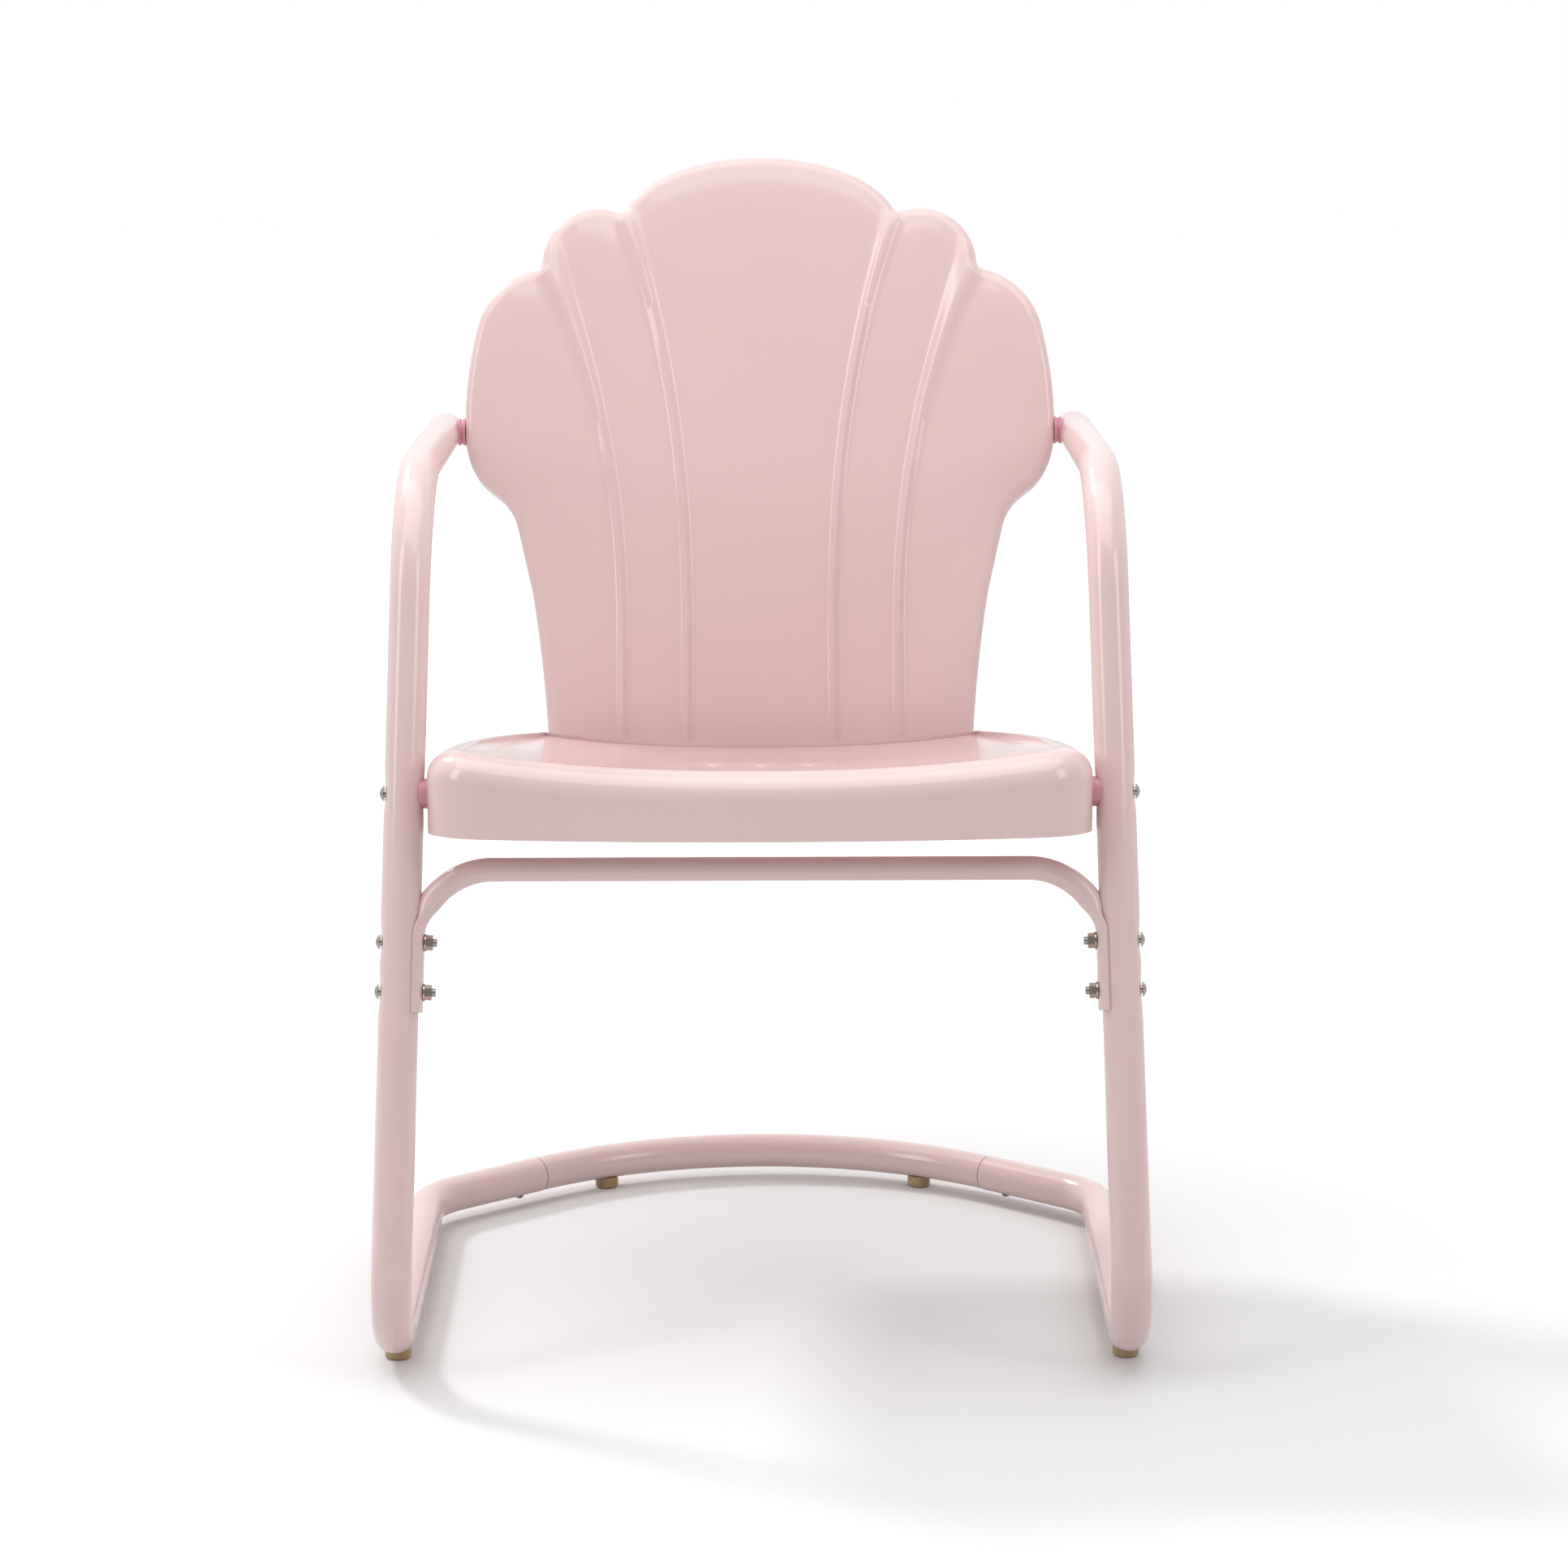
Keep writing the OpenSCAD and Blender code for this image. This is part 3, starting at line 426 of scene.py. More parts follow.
def arcRun(place, centre, radius, start, turn, steps):
    out = []
    for i in range(steps):
        angle = start + turn * i / steps
        spoke = np.array([cosd(angle), sind(angle)])
        at, middle = place(*(centre + radius * spoke)), place(*centre)
        squash = math.sin(math.pi * i / steps) ** tubeLook["squashPower"]
        out.append({"at": at, "squash": squash, "bendAxis": unit(middle - at)})
    return out


def ramp(value, low, high):
    t = np.clip((value - low) / (high - low), 0.0, 1.0)
    return t * t * (3 - 2 * t)


# Each point of a run takes along its centre, its bend and how far it is pressed, for the tree to read
def tubeFrom(name, run, side, inwards, dents, values):
    at = np.array([p["at"] for p in run])
    axis = np.array([p["bendAxis"] for p in run])
    flip = np.array([side, 1.0, 1.0])
    along = np.concatenate([[0], np.cumsum(np.linalg.norm(np.diff(at, axis=0), axis=1))])
    left = along[-1] - along
    dent = np.zeros(len(at))
    for spot in dents:
        dent = np.maximum(dent, np.exp(-(np.linalg.norm(at - spot, axis=1) / values["dentReach"]) ** 2))
    fromEnd = np.clip(np.minimum(along, left) / lipSteps[-1], 0, 1)
    rounded = 1 - values["lipShare"] * (1 - np.sqrt(1 - (1 - fromEnd) ** 2))
    centre = toWorld(at * flip)
    made = meshObject(name, centre, [], {
        "centre": centre,
        "bendAxis": axis * flip,
        "inwards": np.tile(np.asarray(inwards) * flip, (len(at), 1)),
        "squash": [p["squash"] for p in run],
        "flat": ramp(values["flat"] - left, 0.0, values["flatEase"]),
        "dent": dent,
        "radius": rounded,
    }, edges=[(i, i + 1) for i in range(len(at) - 1)])
    grow(made, bentTube, values)
    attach(made, "root")
    return made


def lipFrom(end, way, steps):
    return [{"at": end + way * d, "squash": 0.0, "bendAxis": up} for d in steps]


def planePlace(y, z):
    return sidePlane(0, y, z)


def rearPlace(x, y):
    return np.array([x, y + chair["baseDepth"] - chair["rearArc"], axisHeight])


boltHeights = {"seat": 431.3, "braceUpper": 324.0, "braceGap": 37.0}
joint = np.array([chair["jointHalf"], jointY, axisHeight])
cornerBend, footBend, topBend = (chair[k] for k in ("cornerBend", "footBend", "topBend"))
cornerCentre = np.array([-cornerBend, cornerAt - cornerTan])
cornerOut = np.array([cosd(cornerTurn), sind(cornerTurn)])
cornerEnd = sideBase(*(cornerCentre + cornerBend * cornerOut))
legStart, legEnd = planePlace(*(legDir * footTan)), planePlace(*(legDir * (legLength - topTan)))
armDir = np.array([cosd(rise), sind(rise)])
armStart = planePlace(*armFrom)
armEnd = planePlace(*(armFrom + armDir * (armLength + chair["armOverrun"])))
footCentre = np.array([footTan, footBend])
sideRun = straightRun(joint, cornerEnd, tubeLook["baseStep"])
sideRun += arcRun(sideBase, cornerCentre, cornerBend, cornerTurn, -cornerTurn, tubeLook["cornerSteps"])
sideRun += straightRun(sideBase(0, cornerAt - cornerTan), sideBase(0, footTan), tubeLook["railStep"])
sideRun += arcRun(planePlace, footCentre, footBend, 270, -(90 + lean), tubeLook["footSteps"])
sideRun += straightRun(legStart, legEnd, tubeLook["legStep"])
sideRun += arcRun(planePlace, topCentre, topBend, 180 - lean, -topTurn, tubeLook["topSteps"])
sideRun += straightRun(armStart, armEnd, tubeLook["armStep"])
sideRun[1:1] = lipFrom(joint, unit(cornerEnd - joint), lipSteps)
sideRun += lipFrom(armEnd, unit(armStart - armEnd), lipSteps[::-1] + (0.0,))
legAcross = sidePlane(1, 0, 0) - sidePlane(0, 0, 0)
legUp = unit(legEnd - legStart)
legFore = unit(np.cross(legUp, legAcross))
seatBolt, upperBolt = legPoint(boltHeights["seat"]), legPoint(boltHeights["braceUpper"])
dentSpots = [seatBolt, upperBolt, upperBolt - legUp * boltHeights["braceGap"]]
for side, label in ((-1, "left"), (1, "right")):
    sideFrame = tubeFrom(label + "SideFrame", sideRun, side, -legAcross, dentSpots, tubeLook)
    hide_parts(label + "_side_frame")
print("side frames made")

# The rear tube stops short of the side tubes, and the plug between them shows in the seam
rearLook = {
    **tubeLook,
    "Radius": 0.01465,
    "flat": 0.0,
    "steps": 110,
    "squashShare": 0.4,
    "seam": 1.5,
    "clear": 0.1,
}
plugLook = {**rearLook, "Radius": 0.0132, "half": 3.0, "rings": 5}
rearArc = arcRun(rearPlace, np.zeros(2), chair["rearArc"], 90 - arcHalf, 2 * arcHalf, rearLook["steps"])
for point in rearArc:
    point["squash"] *= rearLook["squashShare"]
rearEnds = [joint, joint * np.array([-1, 1, 1])]
rearWays = [unit(rearArc[1]["at"] - rearEnds[0]), unit(rearArc[-1]["at"] - rearEnds[1])]
rearSteps = [rearLook["seam"] + d for d in (0.0,) + lipSteps]
rearStart, rearStop = [lipFrom(end, way, rearSteps) for end, way in zip(rearEnds, rearWays)]
rearClear = rearSteps[-1] + rearLook["clear"]
rearMiddle = [p for p in rearArc if min(np.linalg.norm(p["at"] - end) for end in rearEnds) > rearClear]
rearTube = tubeFrom("rearBaseTube", rearStart + rearMiddle + rearStop[::-1], 1, up, [], rearLook)
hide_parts("rear_base_tube")
plugRun = lipFrom(joint, rearWays[0], np.linspace(plugLook["half"], -plugLook["half"], plugLook["rings"]))
for side, label in ((1, "right"), (-1, "left")):
    tubeFrom(label + "JointPlug", plugRun, side, up, [], plugLook)
print("rear tube made")

# Front brace: a thinner tube whose ends are pressed to straps round the legs
# From the bend to each strap the section follows a curve, whose handles reach pull shares of the gap
braceLook = {
    "radius": 9.0,
    "height": 376.0,
    "bend": 57.0,
    "bendShift": 8.0,
    "pressFrom": 47.0,
    "pressDelay": 0.1,
    "pull": 0.42,
    "pullEnd": 0.8,
    "strapGap": 0.1,
    "strapThickness": 3.0,
    "strapWrap": 52.0,
    "strapEdge": 1.4,
    "strapInnerEdge": 0.6,
    "strapTail": 15.0,
    "strapTop": 5.0,
    "ringPoints": 64,
    "levelRings": 60,
    "bendRings": 24,
    "pressRings": 30,
    "strapRings": 40,
    "crease": 50,
}
braceR, braceBend, ringPoints = braceLook["radius"], braceLook["bend"], braceLook["ringPoints"]
strapInner = tubeR + braceLook["strapGap"]
strapOuter = strapInner + braceLook["strapThickness"]
strapTop = upperBolt + legUp * braceLook["strapTop"]
strapFoot = upperBolt - legUp * (boltHeights["braceGap"] + braceLook["strapTail"])
braceEnd = upperBolt[0] - tubeR - braceBend - braceR / 2 + braceLook["bendShift"]
braceOrigin = np.array([0.0, legPoint(braceLook["height"])[1], braceLook["height"]])


def bracePlace(x, z):
    return braceOrigin + np.array([x, z * sind(lean), z * cosd(lean)])


def bendPlace(angle):
    at = bracePlace(braceEnd + braceBend * sind(angle), braceBend * (cosd(angle) - 1))
    return at, unit(bracePlace(cosd(angle), -sind(angle)) - bracePlace(0, 0))


def roundSection(centre, tangent):
    fore = np.array([0.0, -cosd(lean), sind(lean)])
    out = unit(np.cross(tangent, fore))
    angles = np.linspace(0, 2 * math.pi, ringPoints, endpoint=False)
    return np.array([centre + braceR * (math.cos(a) * out + math.sin(a) * fore) for a in angles])


def strapSection(centre):
    half, wrap, edge = ringPoints // 2, braceLook["strapWrap"], braceLook["strapEdge"]
    out = []
    for i in range(ringPoints):
        onOuter = i >= half
        t = (i % half + 0.5) / half
        angle = wrap * (1 - 2 * t) * (-1 if onOuter else 1)
        near = min(t, 1 - t) * 2 * math.radians(wrap) * strapOuter
        pull = edge * (1 - math.sqrt(max(0.0, 1 - (1 - min(near / edge, 1.0)) ** 2)))
        radius = strapOuter - pull if onOuter else strapInner + pull * braceLook["strapInnerEdge"]
        out.append(centre - legAcross * radius * cosd(angle) + legFore * radius * sind(angle))
    return np.array(out)


def turnAbout(points, axis, angle):
    k = unit(axis)
    inPlane = points * math.cos(angle) + np.cross(k, points) * math.sin(angle)
    return inPlane + np.outer(points @ k, k) * (1 - math.cos(angle))


def matchShift(a, b):
    best = None
    for step in (1, -1):
        for roll in range(len(b)):
            cost = np.linalg.norm(np.roll(b[::step], roll, axis=0) - a, axis=1).sum()
            if best is None or cost < best[0]:
                best = (cost, roll, step)
    return best[1], best[2]


def shifted(ring, shift):
    return np.roll(ring[::shift[1]], shift[0], axis=0)


def curveAt(points, t):
    while len(points) > 1:
        points = [p * (1 - t) + q * t for p, q in zip(points[:-1], points[1:])]
    return points[0]


def pressedRings(lastRing, shift):
    start, tangent = bendPlace(braceLook["pressFrom"])
    target = strapTop - legAcross * (strapOuter + tubeR) / 2
    pull = np.linalg.norm(target - start) * braceLook["pull"]
    controls = [start, start + tangent * pull, target + legUp * pull * braceLook["pullEnd"], target]
    ways = [q - p for p, q in zip(controls[:-1], controls[1:])]
    strapShape = shifted(strapSection(strapTop), shift) - target
    rings = []
    for i in range(1, braceLook["pressRings"]):
        t = i / braceLook["pressRings"]
        axis = np.cross(tangent, unit(curveAt(ways, t)))
        angle = math.asin(min(1.0, np.linalg.norm(axis)))
        spun = turnAbout(lastRing - start, axis, angle)
        ease = ramp(t, braceLook["pressDelay"], 1.0)
        rings.append(curveAt(controls, t) + spun * (1 - ease) + strapShape * ease)
    return rings


def braceHalf():
    level, bends, straps = (braceLook[k] for k in ("levelRings", "bendRings", "strapRings"))
    rings = [roundSection(bracePlace(braceEnd * i / level, 0), np.array([1.0, 0, 0])) for i in range(level)]
    rings += [roundSection(*bendPlace(braceLook["pressFrom"] * i / bends)) for i in range(bends + 1)]
    shift = matchShift(rings[-1], strapSection(strapTop))
    rings += pressedRings(rings[-1], shift)
    strapAt = [strapTop + (strapFoot - strapTop) * i / straps for i in range(straps + 1)]
    return rings + [shifted(strapSection(at), shift) for at in strapAt]


rightRings = braceHalf()
leftRings = [ring * np.array([-1.0, 1.0, 1.0]) for ring in rightRings]
mirrorShift = matchShift(rightRings[0], leftRings[0])
allRings = [shifted(ring, mirrorShift) for ring in leftRings[:0:-1]] + rightRings
ringStarts = [r * ringPoints for r in range(len(allRings))]
braceFaces = [(a + i, a + (i + 1) % ringPoints, b + (i + 1) % ringPoints, b + i)
              for a, b in zip(ringStarts[:-1], ringStarts[1:]) for i in range(ringPoints)]
braceFaces += [tuple(start + i for i in range(ringPoints)) for start in (ringStarts[0], ringStarts[-1])]
brace = meshObject("frontBrace", toWorld(np.concatenate(allRings)), braceFaces)
brace.data.materials.append(coat)
closeNormals(brace)
sharpen(brace, braceLook["crease"])
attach(brace, "root")
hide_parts("front_brace")
print("brace made")

# Pressed shells: a face on a grid, rings that roll over its rim, a skirt, and the same again inside
holeReach = 2  # faces from the middle of a drain hole to its mouth
flipX = np.array([-1.0, 1.0])


# The point at share t of an arc from p to q that stands out by bulge at its middle
def bulged(p, q, bulge, t):
    p, q = np.asarray(p, float), np.asarray(q, float)
    if bulge == 0:
        return p + (q - p) * t
    gap = np.linalg.norm(q - p)
    along = (q - p) / gap
    out = np.array([along[1], -along[0]])
    radius = (gap * gap / 4 + bulge * bulge) / (2 * bulge)
    half = math.asin(gap / 2 / radius)
    angle = half * (2 * t - 1)
    return (p + q) / 2 + out * (bulge - radius + radius * math.cos(angle)) + along * radius * math.sin(angle)


def stepped(p, q, bulge, spacing):
    steps = max(2, int(np.linalg.norm(np.asarray(q) - np.asarray(p)) / spacing))
    return [bulged(p, q, bulge, i / steps) for i in range(steps)]


def bothSides(right):
    right = np.array(right)
    return np.concatenate([(right * flipX)[:0:-1], right])


def smoothLoop(loop, times):
    for _ in range(times):
        loop = (np.roll(loop, 1, axis=0) + 2 * loop + np.roll(loop, -1, axis=0)) / 4
    return loop


def inwardOf(loop, times):
    way = np.roll(loop, -1, axis=0) - np.roll(loop, 1, axis=0)
    return unit(smoothLoop(unit(np.stack([-way[:, 1], way[:, 0]], axis=1)), times))


# A loop runs round from the south-west corner; its sides run eastwards and northwards
def loopOf(south, east, north, west):
    return np.concatenate([south[:-1], east[:-1], north[:0:-1], west[:0:-1]])


def rimOf(grid):
    return loopOf(grid[0], grid[:, -1], grid[-1], grid[:, 0])


def sidesOf(rim, cols, rows):
    around = np.concatenate([rim, rim[:1]])
    corners = [0, cols - 1, cols + rows - 2, 2 * cols + rows - 3, len(rim)]
    south, east, north, west = [around[a:b + 1] for a, b in zip(corners[:-1], corners[1:])]
    return south, east, north[::-1], west[::-1]


# Outer and inner hold the points of the grid, row by row, and then those of the rings round its rim
def shellFrom(name, cols, rows, outer, inner, rings, extra=None, holes=()):
    rim = 2 * (cols + rows) - 4
    size = cols * rows + rings * rim
    grid = np.arange(cols * rows).reshape(rows, cols)
    bands = [rimOf(grid)] + [cols * rows + r * rim + np.arange(rim) for r in range(rings)]
    quads = np.stack([grid[:-1, :-1], grid[:-1, 1:], grid[1:, 1:], grid[1:, :-1]], axis=-1)
    kept = np.ones(quads.shape[:2], bool)
    walls = []
    for r, c in holes:
        kept[r - holeReach:r + holeReach, c - holeReach:c + holeReach] = False
        mouth = rimOf(grid[r - holeReach:r + holeReach + 1, c - holeReach:c + holeReach + 1])
        after = np.roll(mouth, -1)
        walls.append(np.stack([mouth, after, after + size, mouth + size], axis=-1))
    quads = quads[kept]
    for a, b in zip(bands[:-1], bands[1:]):
        quads = np.concatenate([quads, np.stack([a, b, np.roll(b, -1), np.roll(a, -1)], axis=-1)])
    last, after = bands[-1], np.roll(bands[-1], -1)
    edge = np.stack([last, last + size, after + size, after], axis=-1)
    faces = np.concatenate([quads, edge, quads[:, ::-1] + size] + walls).tolist()
    return meshObject(name, toWorld(np.concatenate([outer, inner])), faces, extra)


def rolledRings(loop, ins, radius, thickness, depth, steps, skirtRows=(0.5, 1.0)):
    out = []
    for r in range(1, steps + 1):
        angle = 90 * (1 - r / steps)
        drop = radius - (radius - thickness) * sind(angle)
        out.append((loop + ins * (radius - (radius - thickness) * cosd(angle)), np.full(len(loop), drop)))
    for share in skirtRows:
        out.append((loop + ins * thickness, radius + (depth - radius) * share))
    return out


# Values as in the tubes' look. A place on the rim is a share of the half width and of the way from the widest
# place to the top or the foot, and a bulge is that of the stretch after it.
backLook = {
    "footHalf": 180.0,
    "footFlare": 1.0,
    "footStraight": 0.83,
    "footBulge": -1.7,
    "lowerRim": (
        (0.773, 0.44, 0), (0.823, 0.266, -4), (0.907, 0.168, 2.5), (0.982, 0.09, 1.2), (1.0, 0.0, 2.6)),
    "wingTop": (0.966, 0.3515),
    "wingBulge": 13.0,
    "outerNotch": (0.745, 0.588),
    "notchBulge": 24.0,
    "innerNotch": 0.788,
    "lobeHalf": 118.0,
    "lobeTurn": 80.0,
    "rimSpacing": 3.6,
    "rimSmooth": 3,
    "inwardSmooth": 6,
    "rollRings": 10,
    "skirt": 30.0,
    "panelColumns": 29,
    "beadInner": 63.0,
    "beadOuter": 118.0,
    "beadFrom": 0.25,
    "beadSwing": 2.4,
    "beadStart": 5,
    "endPower": 3,
    "flare": 0.7,
    "flarePower": 8,
    "crease": 60,
    "pillow": 2.0,
    "pillowReach": 12.0,
    "Height": 0.0036,
    "Width": 0.0115,
    "Valley": 0.0008,
    "Valley Width": 0.017,
    "Valley Floor": 0.1,
    "Material": coat,
}
pressedBeads, beadIn, beadOut = newTree("pressedBeads", backLook)
beadAcross = calc(pressedBeads, "ABSOLUTE", attribute(pressedBeads, "beadAcross"))
beadHalf = calc(pressedBeads, "DIVIDE", beadIn["Width"], 2.0)
beadRidge = between(pressedBeads, calc(pressedBeads, "DIVIDE", beadAcross, beadHalf), 1.0, 0.0)
beadFar = calc(pressedBeads, "DIVIDE", beadAcross, beadIn["Valley Width"])
beadValley = between(pressedBeads, beadFar, 1.0, beadIn["Valley Floor"])
beadFull = calc(pressedBeads, "ADD", beadIn["Height"], beadIn["Valley"])
beadRaised = product(pressedBeads, beadRidge, beadFull)
beadSunk = product(pressedBeads, beadValley, beadIn["Valley"])
beadLift = calc(pressedBeads, "SUBTRACT", beadRaised, beadSunk)
beadFaded = product(pressedBeads, beadLift, attribute(pressedBeads, "beadFade"))
beadMove = vector(pressedBeads, "SCALE", attribute(pressedBeads, "pressAxis", "FLOAT_VECTOR"), beadFaded)
finishTree(pressedBeads, moved(pressedBeads, beadIn["Geometry"], beadMove), beadIn["Material"], beadOut)


def heightAbove(share):
    return wideHeight + (backTop - wideHeight) * share


def heightBelow(share):
    return wideHeight + (chair["backLow"] - wideHeight) * share


backHalf, footHalf = chair["backHalf"], backLook["footHalf"]
innerNotch = (backLook["lobeHalf"], heightAbove(backLook["innerNotch"]))
outerNotch, wingTop = [(across * backHalf, heightAbove(share))
                       for across, share in (backLook["outerNotch"], backLook["wingTop"])]
lobeRise = (backTop - innerNotch[1]) / (1 - cosd(backLook["lobeTurn"]))
footTop = (footHalf + backLook["footFlare"], heightBelow(backLook["footStraight"]))
backEdge = [((footHalf, chair["backLow"]), 0), (footTop, backLook["footBulge"])]
for across, share, bulge in backLook["lowerRim"]:
    backEdge.append(((across * backHalf, heightBelow(share)), bulge))
backEdge.append((wingTop, 0))
backEast = []
for (start, bulge), (stop, _) in zip(backEdge[:-1], backEdge[1:]):
    backEast += stepped(start, stop, bulge, backLook["rimSpacing"])
backEast = np.array(backEast + [np.array(wingTop)])


# A column's mark runs from 0 at the middle over 1 and 2 on the two beads to 3 at the rim
def backTopAt(mark):
    if mark <= 1:
        turn = backLook["lobeTurn"] * mark
        across = innerNotch[0] * sind(turn) / sind(backLook["lobeTurn"])
        return np.array([across, backTop - lobeRise * (1 - cosd(turn))])
    if mark <= 2:
        return bulged(outerNotch, innerNotch, backLook["notchBulge"], 2 - mark)
    return bulged(wingTop, outerNotch, backLook["wingBulge"], 3 - mark)


def backFootAt(mark):
    across = [0, backLook["beadInner"], backLook["beadOuter"], footHalf]
    return (np.interp(mark, range(4), across), chair["backLow"])


perPanel = backLook["panelColumns"]
marks = np.linspace(0, 3, 3 * perPanel + 1)
backSouth = bothSides([backFootAt(mark) for mark in marks])
backNorth = bothSides([backTopAt(mark) for mark in marks])
backLoop = smoothLoop(loopOf(backSouth, backEast, backNorth, backEast * flipX), backLook["rimSmooth"])
backIns = inwardOf(backLoop, backLook["inwardSmooth"])
cols, rows = len(backSouth), len(backEast)
innerRim = backLoop + backIns * chair["backRoll"]
south, east, north, west = sidesOf(innerRim, cols, rows)
middle = cols // 2
climb = (east[:, 1] - east[0, 1]) / (east[-1, 1] - east[0, 1])


def backColumn(k):
    if k == 3:
        return east
    foot, top = south[middle + perPanel * k], north[middle + perPanel * k]
    swung = np.clip((climb - backLook["beadFrom"]) / (1 - backLook["beadFrom"]), 0, 1)
    return foot + (top - foot) * np.stack([swung ** backLook["beadSwing"], climb], axis=1)


columns = [backColumn(k) for k in range(4)]
backGrid = np.zeros((rows, cols, 2))
backBead = np.zeros((rows, cols))
rowShare = np.arange(rows) / (rows - 1)
nearTop = (rowShare ** backLook["endPower"])[:, None]
nearFoot = ((1 - rowShare) ** backLook["endPower"])[:, None]
for i, mark in enumerate(marks):
    k = min(2, i // perPanel)
    share = mark - k
    here, low, high = middle + i, middle + perPanel * k, middle + perPanel * (k + 1)
    straight = columns[k] * (1 - share) + columns[k + 1] * share
    topLift = north[here] - (north[low] * (1 - share) + north[high] * share)
    footLift = south[here] - (south[low] * (1 - share) + south[high] * share)
    backGrid[:, here] = straight + topLift * nearTop + footLift * nearFoot
    beadX, beadZ = columns[1 if i < 1.5 * perPanel else 2].T
    backBead[:, here] = (backGrid[:, here, 0] - beadX) / np.sqrt(1 + np.gradient(beadX, beadZ) ** 2)
backGrid[0, middle:], backGrid[-1, middle:] = south[middle:], north[middle:]
backGrid[:, :middle] = backGrid[:, :middle:-1] * flipX
backBead[:, :middle] = backBead[:, :middle:-1]
backBead /= (1 + backLook["flare"] * rowShare ** backLook["flarePower"])[:, None]
backIn = np.array([0.0, cosd(chair["recline"]), -sind(chair["recline"])])
fromRim = np.array([np.linalg.norm(innerRim - p, axis=1).min() for p in backGrid.reshape(-1, 2)])
backPillow = backLook["pillow"] * np.exp(-fromRim / backLook["pillowReach"])


def onFace(points, depth):
    x, z = points[..., 0], points[..., 1]
    return np.stack([x, faceY(x, z), z], axis=-1) + backIn * depth[..., None]


def backSide(thickness):
    depth = np.full(len(backLoop), backLook["skirt"])
    rings = rolledRings(backLoop, backIns, chair["backRoll"], thickness, depth, backLook["rollRings"])
    layers = [onFace(backGrid.reshape(-1, 2), thickness + backPillow)]
    for points, drop in rings:
        layers.append(onFace(points, drop + backLook["pillow"] * (1 - drop / backLook["skirt"])))
    return np.concatenate(layers), len(rings)


# The beads start above the foot and run out round the rolled rim
backOuter, backRings = backSide(0.0)
backInner, _ = backSide(chair["sheet"])
lastRing = backLook["rollRings"] - 1
gridFade = np.tile(ramp(np.arange(rows), 0, backLook["beadStart"])[:, None], (1, cols)).ravel()
rimFade = np.repeat(ramp(lastRing - np.arange(backRings), 0, lastRing), len(backLoop))
beadFade = np.concatenate([gridFade, rimFade] * 2)
farAway = 1000.0
loopBead = np.full(len(backLoop), farAway)
loopBead[cols + rows - 2:2 * cols + rows - 3] = backBead[-1, :0:-1]
back = shellFrom("backShell", cols, rows, backOuter, backInner, backRings, {
    "beadAcross": np.concatenate([backBead.ravel(), np.tile(loopBead, backRings)] * 2) / 1000,
    "beadFade": beadFade,
    "pressAxis": np.tile(-backIn, (len(beadFade), 1)),
})
grow(back, pressedBeads, backLook)
sharpen(back, backLook["crease"])
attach(back, "root")
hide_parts("back_shell")
print("back made", len(back.data.polygons))

# The drain values are those of the rings of points round each hole's middle: radius, roundness and dip
seatLook = {
    "boltSetback": 53.9,
    "rearGap": 0.3,
    "corner": 42.0,
    "sideStraight": 34.0,
    "tailAhead": 35.0,
    "heelShare": 0.73,
    "heelBulge": 0.22,
    "height": 452.5,
    "fall": 5.9,
    "crown": 20.0,
    "crownPower": 2.3,
    "crownSkirt": 0.8,
    "dish": 10.0,
    "dishPower": 0.6,
    "roll": 26.0,
    "rollRings": 12,
    "skirt": 51.6,
    "rearSkirt": 40.0,
    "frontSteps": 48,
    "cornerSteps": 12,
    "heelSteps": 10,
    "edgeSpacing": 5.0,
    "inwardSmooth": 3,
    "crease": 60,
    "drainGap": 39.0,
    "drainAt": 293.4,
    "drainRadius": (0, 0, 2.0, 4.6, 12.0),
    "drainRound": (0, 0, 1.0, 1.0, 0.6),
    "drainDip": (0, 0, 1.3, 0.6, 0.0),
}
seatHalf, corner = chair["seatHalf"], seatLook["corner"]
seatFront, seatRear = seatBolt[1] - seatLook["boltSetback"], chair["backRoot"] - seatLook["rearGap"]
seatNose, seatCheek = (seatHalf - corner, seatFront), (seatHalf, seatFront + corner)
seatSide = (seatHalf, seatFront + corner + seatLook["sideStraight"])
seatTail = (seatHalf - corner, seatRear - seatLook["tailAhead"])
seatHeelX = seatLook["heelShare"] * seatHalf
seatHeel = (seatHeelX, seatRear - wrapAt(seatHeelX))
sideSpan = np.array(seatTail) - np.array(seatSide)
sideBulge = np.linalg.norm(sideSpan) / 2 * math.tan(math.atan(corner / sideSpan[1]) / 2)
noseArc = (seatNose, seatCheek, corner * (1 - math.sqrt(0.5)))
heelSpan = np.array(seatTail) - np.array(seatHeel)
heelArc = (seatTail, seatHeel, seatLook["heelBulge"] * np.linalg.norm(heelSpan))


def arcPart(arc, first, last, count):
    return [bulged(*arc, t) for t in np.linspace(first, last, count)]


frontShares = np.arange(seatLook["frontSteps"]) / seatLook["frontSteps"]
seatSouthRight = [np.array([x, seatFront]) for x in seatNose[0] * frontShares]
seatSouthRight += arcPart(noseArc, 0, 0.5, seatLook["cornerSteps"])
seatEast = arcPart(noseArc, 0.5, 1, seatLook["cornerSteps"])[:-1]
seatEast += stepped(seatCheek, seatSide, 0, seatLook["edgeSpacing"])
seatEast += stepped(seatSide, seatTail, sideBulge, seatLook["edgeSpacing"])
seatEast = np.array(seatEast + arcPart(heelArc, 0, 0.5, seatLook["heelSteps"]))
seatNorthRight = [np.array([x, seatRear - wrapAt(x)]) for x in seatHeelX * frontShares]
seatNorthRight += arcPart(heelArc, 1, 0.5, seatLook["cornerSteps"])
seatSouth, seatNorth = bothSides(seatSouthRight), bothSides(seatNorthRight)
seatLoop = loopOf(seatSouth, seatEast, seatNorth, seatEast * flipX)
seatIns = inwardOf(seatLoop, seatLook["inwardSmooth"])
